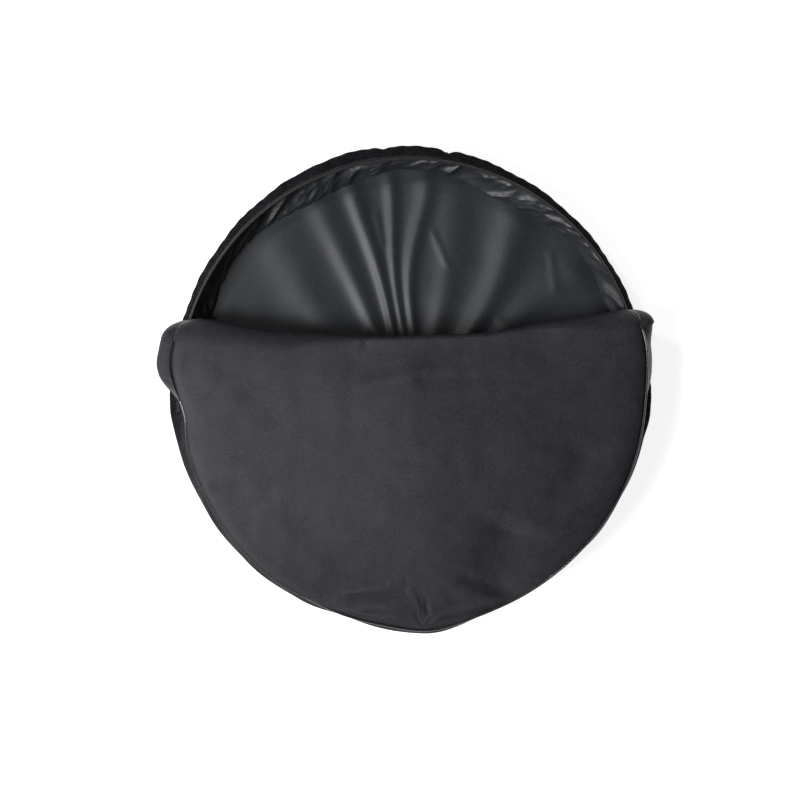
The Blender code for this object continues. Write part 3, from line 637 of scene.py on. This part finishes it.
ZIP_RADIUS = 0.3715
ZIP_HEIGHT = 0.064
ZIP_START = -2.8
ZIP_END = 182.8
LOWER_START = 182.8
LOWER_END = 357.2
WALL_BOTTOM = 0.0046
WALL_TOP = 0.0900
REAR_STRIP_TOP = 0.0540
BELLY_HEIGHT = 0.028
BELLY_RADIUS = 0.3838
UPPER_BELLY_HEIGHT = 0.043       # the open half slumps, so it is widest near its top
HANDLE_REACH = 10.5              # degrees each side of the top that the handle takes
HANDLE_WALL_RADIUS = 0.3832      # the wall lies flat under the handle
BACK_SEAM_RADIUS = 0.378
ZIP_LEVEL = 0.0565               # from here up, the wall follows the zip


def belly_radius(angle):
    """The wall swells most over the top and at the foot, and is nicked along the top."""
    angle %= 360
    swell = (0.0125 * bump(angle, 101, 36) + 0.0120 * bump(angle, 274, 11)
             + 0.0055 * bump(angle, 186, 11) - 0.0045 * bump(angle, 301, 16)
             - 0.0030 * bump(angle, 252, 6) + 0.0070 * bump((angle + 180) % 360, 178, 14))
    nicks = (-0.0030 * bump(angle, 96, 1.2) - 0.0040 * bump(angle, 81, 1.1)
             + 0.0015 * bump(angle, 78, 1.4) - 0.0020 * bump(angle, 118, 1.6))
    return BELLY_RADIUS + swell + nicks


RIM_LEAN = 0.0048                # how far the wall's top edge lies outside the zip


def rim_lean(angle):
    from_end = min(angle - ZIP_START, ZIP_END - angle)
    return RIM_LEAN * smoothstep(from_end / 8)


def upper_wall_radius(angle, height):
    """The open half: it flops out below the zip, and leans in to the zip above that."""
    belly = belly_radius(angle)
    if height > UPPER_BELLY_HEIGHT:
        share = (height - UPPER_BELLY_HEIGHT) / (ZIP_LEVEL - UPPER_BELLY_HEIGHT)
        return mix(belly, ZIP_RADIUS + rim_lean(angle), smoothstep(share))
    rise = max(height - WALL_BOTTOM, 0.0) / (UPPER_BELLY_HEIGHT - WALL_BOTTOM)
    radius = mix(BACK_SEAM_RADIUS, belly, math.sin(rise * math.pi / 2))
    held = (smoothstep((HANDLE_REACH + 3 - abs(angle - 90)) / 3)
            * smoothstep((UPPER_BELLY_HEIGHT - height) / 0.003))
    return mix(radius, min(radius, HANDLE_WALL_RADIUS), held)


def sunk(angle):
    """At the lower left the cord lies low, in a groove between the panel and the wall."""
    angle %= 360
    return smoothstep((angle - 120) / 20) * smoothstep((256 - angle) / 16)


def lower_wall_radius(angle, height):
    belly = belly_radius(angle)
    if height <= BELLY_HEIGHT:
        rise = max(height - WALL_BOTTOM, 0.0) / (BELLY_HEIGHT - WALL_BOTTOM)
        return mix(BACK_SEAM_RADIUS, belly, math.sin(rise * math.pi / 2))
    share = (height - BELLY_HEIGHT) / (WALL_TOP - BELLY_HEIGHT)
    return mix(belly, seam_radius(angle) + 0.0016 * sunk(angle), smoothstep(share))


def wall_radius(angle, height):
    """The two halves run into each other near the ends of the zip."""
    if not LOWER_START <= angle <= LOWER_END:
        return upper_wall_radius(angle, height)
    from_end = min(angle - LOWER_START, LOWER_END - angle)
    at_zip = upper_wall_radius(angle, height)
    if height > ZIP_LEVEL:
        at_zip = mix(ZIP_RADIUS, seam_radius(angle), smoothstep((height - 0.0715) / 0.018))
    return mix(at_zip, lower_wall_radius(angle, height), smoothstep(from_end / 14.0))


def wall_wrinkle(angle, height, high):
    """Short gathers that start at the seams, and a few long soft waves."""
    top = bump(height, high, 0.016)
    foot = bump(height, WALL_BOTTOM, 0.012)
    gathers = 0.0007 * math.sin(math.radians(angle) * 96 + 2 * math.sin(math.radians(angle) * 11))
    waves = 0.0011 * math.sin(math.radians(angle) * 23 + height * 90)
    held = smoothstep((height - WALL_BOTTOM) / 0.010) * smoothstep((high - height) / 0.008)
    return gathers * (top + foot) * held + waves * bump(height, (high + WALL_BOTTOM) / 2, 0.022)


CRUMPLE = 0.0050                 # how deep the slack lining's creases are
SLUMP_SHARE = 0.16               # how far up its height the slack lining lies down


def wall_piece(name, start, end, high, columns, inward, waist=0.0):
    """A strip of the wall, inward metres inside its outer face."""
    def place(u, v):
        angle = mix(start, end, 1 - u if inward else u)
        height = mix(WALL_BOTTOM, high, v)
        still = smoothstep(min(u, 1 - u) * 40)
        radius = wall_radius(angle, height) - inward
        radius += wall_wrinkle(angle, height, high) * still * (1 if inward == 0 else 0.6)
        if waist:
            flat_place = Vector((math.radians(angle) * 7.5 + v * 1.5, v * 1.7, 4.0))
            ridges = noise.ridged_multi_fractal(flat_place, 0.9, 2.1, 3, 0.9, 2.0) - 0.9
            ridges *= mix(0.55, 1.0, smoothstep((angle - 30) / 50))
            slump = math.sin(min(v / SLUMP_SHARE, 1.0) * math.pi / 2)
            slump *= smoothstep((1 - v) / (1 - SLUMP_SHARE)) ** 0.8
            radius -= slump * still * (waist * (1 + 0.25 * math.sin(math.radians(angle) * 7)))
            radius -= CRUMPLE * ridges * math.sin(math.pi * v) * still
            height += CRUMPLE * ridges * math.sin(math.pi * v) * still
            height = max(height, WALL_BOTTOM + 0.0030 + 0.004 * math.sin(math.pi * v))
        return polar(radius, angle, height)

    flat = (math.radians(end - start) * ZIP_RADIUS, high - WALL_BOTTOM)
    return shaped_grid(name, columns, 44 if waist else 26, place, flat), flat


# The same 600-denier polyester in a coarser canvas weave, whose ribs show on the wall. Its colours
# are darker than the front cloth's: the ribs are real, but the extra darkness is painted shade on
# the wall, not a darker dye.
canvas_with_painted_shade = woven_cloth("woven_polyester_canvas_painted_shade", "#0c0b0e", "#2e2c31", 0.0026, 0.62,
                          0.04, 0.0006)

for half, start, end, high, columns, waist in (
    ("lower", LOWER_START, LOWER_END, WALL_TOP, 420, 0.0),
    ("upper", ZIP_START, ZIP_END, REAR_STRIP_TOP, 560, 0.030),
):
    wall_cloth, flat = wall_piece(half + "_wall_cloth", start, end, high, columns, 0)
    dress(wall_cloth, canvas_with_painted_shade, OUTER_THICKNESS)
    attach(wall_cloth, "bag")
    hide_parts(half + "_gusset_shell")

    wall_inside, flat = wall_piece(half + "_wall_inside", start, end, high, columns, 0.0019,
                                   waist)
    dress(wall_inside, nylon_lining, LINING_THICKNESS)
    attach(wall_inside, "bag")
    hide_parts(half + "_gusset_lining")


# Seam bindings
# Grosgrain tape folded over the raw edges of the two seams inside the bag, sewn flat to
# the lining.

BINDING_WIDTH = 0.009
BINDING_THICKNESS = 0.0014


def ribbed_tape(name, dark, pale, rib, roughness):
    """Woven tape: ribs across its length, with a firm sewn edge."""
    material, shader = new_material(name)
    flat, place = place_in(material, "UV"), place_in(material, "Object")
    ribs = add_node(material, "ShaderNodeTexWave", {"Vector": flat, "Scale": WAVE_PERIOD / rib,
                    "Distortion": 0.2}, bands_direction="X").outputs["Fac"]
    both = reckoned(material, "MULTIPLY", ribs, noise_at(material, place, 500.0))
    set_inputs(shader, {"Base Color": tinted(material, both, linear(dark), linear(pale)),
                        "Normal": bumped(material, ribs, 0.7, 0.0004), "Roughness": roughness})
    return material


grosgrain = ribbed_tape("polyester_grosgrain", "#1b1b1d", "#2e2e31", 0.0020, 0.70)


def binding(name, node, outer, height, start, end, columns):
    def place(u, v):
        angle = mix(start, end, u)
        radius = outer(angle) - BINDING_WIDTH * (1 - v)
        return polar(radius, angle, height + 0.0006 * math.sin(math.pi * v))

    length = math.radians(end - start) * SEAM_RADIUS
    tape = shaped_grid(name, columns, 4, place, (length, BINDING_WIDTH))
    dress(tape, grosgrain, BINDING_THICKNESS)
    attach(tape, "bag")
    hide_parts(node)


binding("rear_binding", "rear_seam_binding", lambda a: BACK_RADIUS - 0.0006, 0.0098, 0, 360, 240)
binding("front_binding", "front_seam_binding", lambda a: seam_radius(a) - 0.0050, 0.0840,
        LOWER_START, LOWER_END, 160)


# Piping
# Cord covered in a bias strip of coated cloth, sewn into both seams. Its coating takes a
# thin bright line of light along the top.

CORD_RADIUS = 0.0020
CORD_SIDES = 10


def tube(name, path, radius, closed=False):
    """A cord along a path, closed into a ring if asked."""
    line = bpy.data.curves.new(name, "CURVE")
    line.dimensions = "3D"
    line.bevel_depth = radius
    line.bevel_resolution = CORD_SIDES // 2 - 2
    line.use_fill_caps = not closed
    spline = line.splines.new("POLY")
    spline.points.add(len(path) - 1)
    for point, place in zip(spline.points, path):
        point.co = (*place, 1)
    spline.use_cyclic_u = closed
    drawn = bpy.data.objects.new(name + "_line", line)
    shape = bmesh.new()
    made = bpy.data.meshes.new_from_object(drawn)
    shape.from_mesh(made)
    bpy.data.objects.remove(drawn)
    bpy.data.meshes.remove(made)
    bmesh.ops.remove_doubles(shape, verts=shape.verts, dist=0.00001)
    bmesh.ops.recalc_face_normals(shape, faces=shape.faces)
    return finished(name, shape)


# Vinyl-coated polyester over cotton cord: smooth, black, half glossy, with slight lumps
# where the strip is stitched.
def piping_material():
    material, shader = new_material("coated_piping")
    lumps = noise_at(material, place_in(material, "Object"), 150.0, Detail=3.0)
    set_inputs(shader, {"Base Color": tinted(material, lumps, linear("#101012"), linear("#1c1c1f")),
                        "Normal": bumped(material, lumps, 0.5, 0.0006),
                        "Roughness": ranged(material, lumps, to_min=0.34, to_max=0.46),
                        "Specular IOR Level": 0.5, "Coat Weight": 1.0, "Coat Roughness": 0.20,
                        "Coat IOR": 1.7})
    return material


coated_piping = piping_material()

ROLL_CORD_STEPS = 10
ROLL_CORD_TURN = math.pi * 5 / 6


def roll_cord_point(side, turn):
    """Middle of the cord where it goes round the right (1) or left (-1) end of the roll."""
    point = roll_point(0.5 + side / 2, turn, CORD_RADIUS)
    return point + Vector((side * 0.0030 * smoothstep(turn), 0, 0))


def seam_path(height):
    """The front seam from the right end of the fold, round the foot, to the left end."""
    total = FOLD_TURN_RIGHT + FOLD_TURN_LEFT
    steps = round(total / 1.5)
    angles = [FOLD_TURN_RIGHT - 90.0 - total * k / steps for k in range(steps + 1)]
    return [polar(seam_radius(a) + 0.0008 - 0.0008 * sunk(a), a, height + 0.0013 - 0.0058 * sunk(a))
            for a in angles]


turns = [ROLL_CORD_TURN * k / ROLL_CORD_STEPS for k in range(1, ROLL_CORD_STEPS + 1)]
path = ([roll_cord_point(1, t) for t in reversed(turns)] + seam_path(SEAM_HEIGHT)
        + [roll_cord_point(-1, t) for t in turns])
front_cord = tube("front_cord", path, CORD_RADIUS)
paint(front_cord, coated_piping)
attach(front_cord, "bag")
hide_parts("front_piping")

rear_path = [polar(BACK_SEAM_RADIUS, 1.5 * k, 0.0023) for k in range(240)]
rear_cord = tube("rear_cord", rear_path, CORD_RADIUS, closed=True)
paint(rear_cord, coated_piping)
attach(rear_cord, "bag")
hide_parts("rear_piping")


# Flap's edge
# The front strip of the wall, with its lining and piping. It goes in with the flap, and
# is laid out closed before it is turned.

FLAP_START = 24.7
FLAP_END = 155.3
FRONT_STRIP_BOTTOM = 0.0741
turned_in = (Matrix.Translation((0, HINGE_Y, HINGE_Z)) @ Matrix.Rotation(FLAP_SWING, 4, "X")
             @ Matrix.Translation((0, -HINGE_Y, -HINGE_Z)))


def flap_strip(name, inward, thickness, material):
    def place(u, v):
        angle = mix(FLAP_START, FLAP_END, 1 - u if inward else u)
        height = mix(FRONT_STRIP_BOTTOM, WALL_TOP, v)
        gather = 0.0006 * math.sin(math.radians(angle) * 90) * math.sin(math.pi * v)
        return turned_in @ polar(ZIP_RADIUS - 0.001 * v + gather - inward, angle, height)

    flat = (math.radians(FLAP_END - FLAP_START) * ZIP_RADIUS, WALL_TOP - FRONT_STRIP_BOTTOM)
    strip = shaped_grid(name, 200, 8, place, flat)
    dress(strip, material, thickness)
    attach(strip, "flap")
    return strip, flat


flap_edge, flat = flap_strip("flap_edge_cloth", 0, OUTER_THICKNESS, canvas_with_painted_shade)
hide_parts("flap_gusset_shell")

flap_edge_inside, flat = flap_strip("flap_edge_inside", 0.0016, LINING_THICKNESS, nylon_lining)
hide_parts("flap_gusset_lining")

steps = 90
angles = [mix(FLAP_START, FLAP_END, k / steps) for k in range(steps + 1)]
flap_cord = tube("flap_cord", [turned_in @ polar(SEAM_RADIUS + 0.0015, a, SEAM_HEIGHT)
                               for a in angles], CORD_RADIUS)
paint(flap_cord, coated_piping)
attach(flap_cord, "flap")
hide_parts("flap_piping")


# Zip
# A coil zip: woven tapes with a nylon coil sewn along one edge of each. The coil's turns are
# drawn as separate small blocks. The rear row stays on the wall, and the front row is on
# the flap's edge and on the two wings.

TAPE_THICKNESS = 0.0008
TAPE_WIDTH = 0.0055
TAPE_OVERLAP = 0.0008            # how far the tape goes under the cloth or the teeth
CHAIN_BASE = 0.0040
TOOTH_PITCH = 0.0032
TOOTH_SIZE = (0.0024, 0.0014, 0.0046)
TOOTH_MIDDLE = 0.0016            # the zip's middle line to the middle of each tooth
PITCH_ANGLE = math.degrees(TOOTH_PITCH / ZIP_RADIUS)


# Nylon monofilament: black, smooth and half glossy.
def coil_material():
    material, shader = new_material("nylon_zip_coil")
    wear = noise_at(material, place_in(material, "Object"), 90.0)
    set_inputs(shader, {"Base Color": tinted(material, wear, linear("#18181a"), linear("#39393d")),
                        "Roughness": ranged(material, wear, to_min=0.30, to_max=0.45)})
    return material


nylon_coil = coil_material()
zip_tape_cloth = ribbed_tape("polyester_zip_tape", "#1d1d20", "#343438", 0.0012, 0.62)


def teeth(name, places):
    """One small rounded block for each turn of the coil, at each place in turn."""
    shape = bmesh.new()
    size = Matrix.Diagonal((*TOOTH_SIZE, 1))
    for place in places:
        bmesh.ops.create_cube(shape, size=1, matrix=place @ size)
    rows_of_teeth = finished(name, shape)
    rounding = rows_of_teeth.modifiers.new("rounded", "BEVEL")
    rounding.width = 0.0004
    rounding.segments = 1
    paint(rows_of_teeth, nylon_coil)
    return rows_of_teeth


def on_zip(angle, up):
    """A tooth's place on the zip line: up is 1 for the front row and -1 for the rear one."""
    turn = Matrix.Rotation(math.radians(angle), 4, "Z")
    return turn @ Matrix.Translation((ZIP_RADIUS - 0.0006, 0, ZIP_HEIGHT + up * TOOTH_MIDDLE))


def zip_tape(name, start, end, low, high, columns, turned=None):
    def place(u, v):
        angle = mix(start, end, u)
        lean = 0 if turned else rim_lean(angle) * (1 - v)
        point = polar(ZIP_RADIUS - 0.0002 + lean, angle, mix(low, high, v))
        return turned @ point if turned else point

    length = math.radians(end - start) * ZIP_RADIUS
    tape = shaped_grid(name, columns, 3, place, (length, high - low))
    dress(tape, zip_tape_cloth, TAPE_THICKNESS)
    return tape


rear_tape = zip_tape("rear_zip_band", ZIP_START, ZIP_END, REAR_STRIP_TOP,
                     ZIP_HEIGHT - CHAIN_BASE + TAPE_OVERLAP, 300)
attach(rear_tape, "bag")
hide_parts("rear_zip_tape")

count = int((ZIP_END - ZIP_START) / PITCH_ANGLE)
rear_teeth = teeth("rear_zip_coil", [on_zip(ZIP_START + PITCH_ANGLE * n, -1)
                                     for n in range(count + 1)])
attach(rear_teeth, "bag")
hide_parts("rear_zip_teeth")

flap_tape = zip_tape("flap_zip_band", FLAP_START, FLAP_END,
                     ZIP_HEIGHT + CHAIN_BASE - TAPE_OVERLAP, FRONT_STRIP_BOTTOM, 200, turned_in)
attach(flap_tape, "flap")
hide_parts("flap_zip_tape")

first = math.ceil((FLAP_START - ZIP_START) / PITCH_ANGLE) + 0.5
count = int((FLAP_END - FLAP_START) / PITCH_ANGLE)
flap_teeth = teeth("flap_zip_coil", [turned_in @ on_zip(ZIP_START + PITCH_ANGLE * (first + n), 1)
                                     for n in range(count)])
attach(flap_teeth, "flap")
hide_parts("flap_zip_teeth")


# Wings
# The last of the front strip at each end of the fold. Nothing holds it up there, so it
# flops out over the rim, and turns in round the end of the roll.

WING_LENGTH = 0.190
WING_WIDTH = 0.0182
WING_SEAM = CORD_RADIUS * 0.6    # the strip starts this far from the middle of the cord
WING_BARE_SHARE = 0.12           # of the wing's length, before its half of the zip starts
WING_REACH = 0.0280              # the strip's whole width, with its half of the zip
WING_RIM_SHARE = 0.62            # of the wing's length, along the rim
WING_TIP_SHARE = 0.55


def wing_flop(side, y):
    """How far a wing has flopped out: the left one does so sooner than the right one."""
    if side < 0:
        return smoothstep((y + 0.021) / 0.046)
    return 0.3 * smoothstep((y + 0.020) / 0.050) + 0.7 * smoothstep((y - 0.066) / 0.050)


def wing_anchor(side, share):
    """The seam's place along a wing, how far it has flopped out, and which way is out."""
    fold_turn = FOLD_TURN_RIGHT if side > 0 else FOLD_TURN_LEFT
    if share <= WING_RIM_SHARE:
        angle = side * mix(90.0 + ZIP_START, fold_turn, share / WING_RIM_SHARE) - 90.0
        anchor = polar(seam_radius(angle), angle, SEAM_HEIGHT)
        return anchor, wing_flop(side, anchor.y), polar(1, angle), 1.0
    along = (share - WING_RIM_SHARE) / (1 - WING_RIM_SHARE)
    turn = ROLL_CORD_TURN * along
    out = polar(1, mix(fold_turn - 90.0, 90.0, along))
    out.x *= side
    flop = 1 - smoothstep(along * 1.7)
    return roll_cord_point(side, turn), flop, out, mix(1.0, WING_TIP_SHARE, along)


def wing_point(side, share, start, width):
    """A point on a wing, width metres down the strip: its edge curls down and under."""
    anchor, flop, out, narrowing = wing_anchor(side, share)
    reach = (start + width) * narrowing
    curled = (start + width) / WING_REACH
    over = out * reach * (1 - 0.20 * curled ** 5) - Vector((0, 0, 0.50 * reach * curled ** 3))
    straight = Vector((0, 0, -reach)) + out * 0.12 * reach
    rumple = 0.0006 * math.sin(share * 21) * (width / WING_WIDTH) * flop
    return anchor + straight.lerp(over, flop) + out * rumple


for name, side in (("right_wing", 1), ("left_wing", -1)):
    wing = shaped_grid(name + "_cloth", 64, 12,
                       lambda u, v: wing_point(side, u, WING_SEAM, WING_WIDTH * v),
                       (WING_LENGTH, WING_WIDTH), reverse=side < 0)
    dress(wing, outer_polyester, OUTER_THICKNESS)
    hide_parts(name)

    outer = WING_WIDTH + TAPE_WIDTH - TAPE_OVERLAP
    band = shaped_grid(name + "_zip_band", 64, 3,
                       lambda u, v: wing_point(side, mix(WING_BARE_SHARE, 1, u), WING_SEAM,
                                               mix(WING_WIDTH - TAPE_OVERLAP, outer, v)),
                       (WING_LENGTH, TAPE_WIDTH), reverse=side < 0)
    dress(band, zip_tape_cloth, TAPE_THICKNESS)
    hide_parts(name + "_zip_tape")

    places = []
    tooth_count = int(WING_LENGTH * (1 - WING_BARE_SHARE) / TOOTH_PITCH)
    for n in range(tooth_count):
        share = mix(WING_BARE_SHARE, 1.0, (n + 0.5) / tooth_count)
        inner_edge = wing_point(side, share, WING_SEAM, outer - 0.0020)
        outer_edge = wing_point(side, share, WING_SEAM, outer + 0.0026)
        ahead = (wing_point(side, min(share + 0.01, 1.0), WING_SEAM, outer)
                 - wing_point(side, share - 0.01, WING_SEAM, outer))
        up = (outer_edge - inner_edge).normalized()
        along = (ahead - up * ahead.dot(up)).normalized()
        turn = Matrix((along.cross(up), along, up)).transposed().to_4x4()
        places.append(Matrix.Translation((inner_edge + outer_edge) / 2) @ turn)
    wing_teeth = teeth(name + "_zip_coil", places)
    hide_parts(name + "_zip_teeth")

    for piece in (wing, band, wing_teeth):
        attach(piece, "bag")
        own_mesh(piece)


# Zip tabs
# A square of cloth folded over each end of the zip and stitched through all layers, so
# that the slider can't run off.

TAB_SWEEP = 2.6
TAB_HALF_HEIGHT = 0.011
TAB_LENGTH = 0.017
TAB_THICKNESS = 0.0013
TAB_FACE = 0.0016                # how far the tab's face stands out from the wall
STITCH_FACE = 0.0019             # and its stitches
STITCH = (0.0007, 0.0028, 0.0006)


# Bonded nylon sewing thread: dark, a little glossy, lying proud in its row of stitches.
def thread_material():
    material, shader = new_material("bonded_nylon_thread")
    twist = noise_at(material, place_in(material, "Object"), 900.0)
    set_inputs(shader, {"Base Color": tinted(material, twist, linear("#2a2a2d"), linear("#4a4a4f")),
                        "Roughness": 0.5})
    return material


nylon_thread = thread_material()


def stitches(name, places):
    """Rows of stitches, each one a small bar that lies along its row."""
    shape = bmesh.new()
    for place in places:
        bmesh.ops.create_cube(shape, size=1, matrix=place @ Matrix.Diagonal((*STITCH, 1)))
    row = finished(name, shape)
    paint(row, nylon_thread)
    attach(row, "bag")
    return row


def on_wall(radius, angle, height, tilt=0.0):
    """A stitch's place on the wall; tilt turns it from lying round the rim to upright."""
    return (Matrix.Translation(polar(radius, angle, height))
            @ Matrix.Rotation(math.radians(angle), 4, "Z") @ Matrix.Rotation(tilt, 4, "X"))


for name, start in (("right_zip_tab", LOWER_END - TAB_SWEEP), ("left_zip_tab", LOWER_START)):
    def tab_point(u, v):
        angle = start + TAB_SWEEP * u
        height = ZIP_HEIGHT + TAB_HALF_HEIGHT * (2 * v - 1)
        worn = 0.0004 * math.sin(math.pi * u) * math.sin(math.pi * v)
        return polar(wall_radius(angle, height) + TAB_FACE + worn, angle, height)

    tab = shaped_grid(name + "_cloth", 12, 16, tab_point,
                      (TAB_LENGTH, 2 * TAB_HALF_HEIGHT))
    dress(tab, outer_polyester, TAB_THICKNESS)
    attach(tab, "bag")
    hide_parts(name)
    places = []
    for k in range(5):
        for up in (-1, 1):
            angle = start + TAB_SWEEP * (0.16 + 0.17 * k)
            height = ZIP_HEIGHT + up * (TAB_HALF_HEIGHT - 0.0018)
            places.append(on_wall(wall_radius(angle, height) + STITCH_FACE, angle, height))
    for k in range(5):
        for end in (0.10, 0.90):
            angle = start + TAB_SWEEP * end
            height = ZIP_HEIGHT + (k - 2) * 0.0036
            places.append(on_wall(wall_radius(angle, height) + STITCH_FACE, angle, height,
                                  math.pi / 2))
    stitches(name + "_stitches", places)


# Carry handle
# Heavy webbing, sewn flat at both ends under a cloth patch and arched between them.

HANDLE_HALF_LENGTH = 0.062
HANDLE_SEWN = 0.018
HANDLE_WIDTH = 0.022
HANDLE_THICKNESS = 0.0024
HANDLE_ARCH = 0.0050
HANDLE_MIDDLE = 0.028
HANDLE_SEAT = 0.3846
HANDLE_PATCH = 0.016
HANDLE_PATCH_WIDTH = HANDLE_WIDTH + 0.002

webbing = ribbed_tape("polypropylene_webbing", "#1e1e21", "#36363a", 0.0022, 0.75)


def handle_radius(reach):
    free = (HANDLE_HALF_LENGTH - HANDLE_SEWN - abs(reach)) / (HANDLE_HALF_LENGTH - HANDLE_SEWN)
    return HANDLE_SEAT + HANDLE_ARCH * smoothstep(free * 2)


def handle_angle(reach):
    return 90.0 - math.degrees(reach / HANDLE_SEAT)


def handle_point(u, v):
    reach = mix(HANDLE_HALF_LENGTH, -HANDLE_HALF_LENGTH, u)
    edge = 0.0004 * (1 - abs(2 * v - 1) ** 4)
    height = HANDLE_MIDDLE + HANDLE_WIDTH * (v - 0.5)
    return polar(handle_radius(reach) + HANDLE_THICKNESS - 0.0002 + edge, handle_angle(reach),
                 height)


handle = shaped_grid("handle_webbing", 80, 12, handle_point,
                     (2 * HANDLE_HALF_LENGTH, HANDLE_WIDTH))
dress(handle, webbing, HANDLE_THICKNESS)
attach(handle, "bag")
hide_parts("carry_handle")

for name, side in (("right", 1), ("left", -1)):
    def patch_point(u, v):
        reach = side * (HANDLE_HALF_LENGTH - HANDLE_PATCH) + side * HANDLE_PATCH * u
        height = HANDLE_MIDDLE + HANDLE_PATCH_WIDTH * (v - 0.5)
        return polar(HANDLE_SEAT + HANDLE_THICKNESS + 0.0017, handle_angle(reach), height)

    patch = shaped_grid(name + "_handle_cloth", 12, 14, patch_point,
                        (HANDLE_PATCH, HANDLE_PATCH_WIDTH), reverse=side > 0)
    dress(patch, outer_polyester, OUTER_THICKNESS)
    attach(patch, "bag")
    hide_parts(name + "_handle_patch")
    places = []
    radius = HANDLE_SEAT + HANDLE_THICKNESS + 0.0021
    for k in range(5):
        share = 0.12 + 0.19 * k
        reach = side * (HANDLE_HALF_LENGTH - HANDLE_PATCH * (1 - share))
        across = (share - 0.5) * HANDLE_WIDTH * 0.9
        lean = math.radians(52)
        for up in (-1, 1):
            places.append(on_wall(radius, handle_angle(reach), HANDLE_MIDDLE + up * 0.0098))
            places.append(on_wall(radius, handle_angle(reach), HANDLE_MIDDLE + up * across,
                                  -side * up * lean))
    stitches(name + "_handle_stitches", places)


# Sliders and pulls
# Die-cast zinc, painted black. The paint is half glossy, and thin on the edges that
# fingers and the zip rub.

def painted_zinc_material():
    material, shader = new_material("black_painted_zinc")
    place = place_in(material, "Object")
    orange_peel = noise_at(material, place, 700.0)
    rub = noise_at(material, place, 220.0, Detail=4.0)
    bare = ranged(material, rub, from_min=0.60, from_max=0.72)
    set_inputs(shader, {"Base Color": tinted(material, bare, linear("#1a1a1c"), linear("#5a5a5e")),
                        "Metallic": bare, "Roughness": 0.34,
                        "Normal": bumped(material, orange_peel, 0.3, 0.0002)})
    return material


painted_zinc = painted_zinc_material()
for name in ("left_slider", "right_slider", "left_pull", "right_pull"):
    paint(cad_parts[name], painted_zinc)


# Floor, lamps and camera
# A white surface that keeps the bag's soft shadow, a broad lamp at the left, a small one
# at the upper left that the piping catches, and a camera straight above.

def stage_material():
    material, shader = new_material("white_surface")
    set_inputs(shader, {"Base Color": linear("#f6f6f6"), "Roughness": 0.9})
    light = add_node(material, "ShaderNodeLightPath").outputs
    seen = reckoned(material, "MAXIMUM", light["Is Camera Ray"], light["Is Glossy Ray"])
    seen = reckoned(material, "MAXIMUM", seen, light["Is Transmission Ray"])
    glow = add_node(material, "ShaderNodeEmission", {"Color": (1, 1, 1, 1), "Strength": 0.84})
    lit = add_node(material, "ShaderNodeAddShader", {0: shader.outputs["BSDF"],
                   1: glow.outputs["Emission"]})
    both = add_node(material, "ShaderNodeMixShader", {0: seen, 1: shader.outputs["BSDF"],
                    2: lit.outputs["Shader"]})
    set_inputs(material.node_tree.nodes["Material Output"], {"Surface": both.outputs["Shader"]})
    return material


shape = bmesh.new()
bmesh.ops.create_grid(shape, x_segments=1, y_segments=1, size=6)
floor = finished("white_floor", shape)
floor.data.transform(Matrix.Translation((0, 0, -0.0005)))
paint(floor, stage_material())


def lamp(name, place, size, power):
    light = bpy.data.lights.new(name, "AREA")
    light.shape = "RECTANGLE"
    light.size, light.size_y = size
    light.energy = power
    stand = new_object(name, light)
    stand.location = place
    stand.rotation_euler = (-Vector(place)).to_track_quat("-Z", "Y").to_euler()


lamp("key_lamp", (-2.7, -1.05, 3.6), (1.6, 1.6), 155)
lamp("back_lamp", (-1.7, 2.0, 2.9), (0.4, 0.4), 17)

world = bpy.data.worlds.new("pale_room")
world.use_nodes = True
set_inputs(world.node_tree.nodes["Background"], {"Color": (1, 1, 1, 1), "Strength": 0.09})
bpy.context.scene.world = world
bpy.context.scene.view_settings.view_transform = "Standard"

camera_data = bpy.data.cameras.new("camera")
camera_data.lens = 139
camera_data.sensor_width = 36
camera = new_object("camera", camera_data)
camera.location = (-0.0208, -0.0112, 5.0)
bpy.context.scene.camera = camera
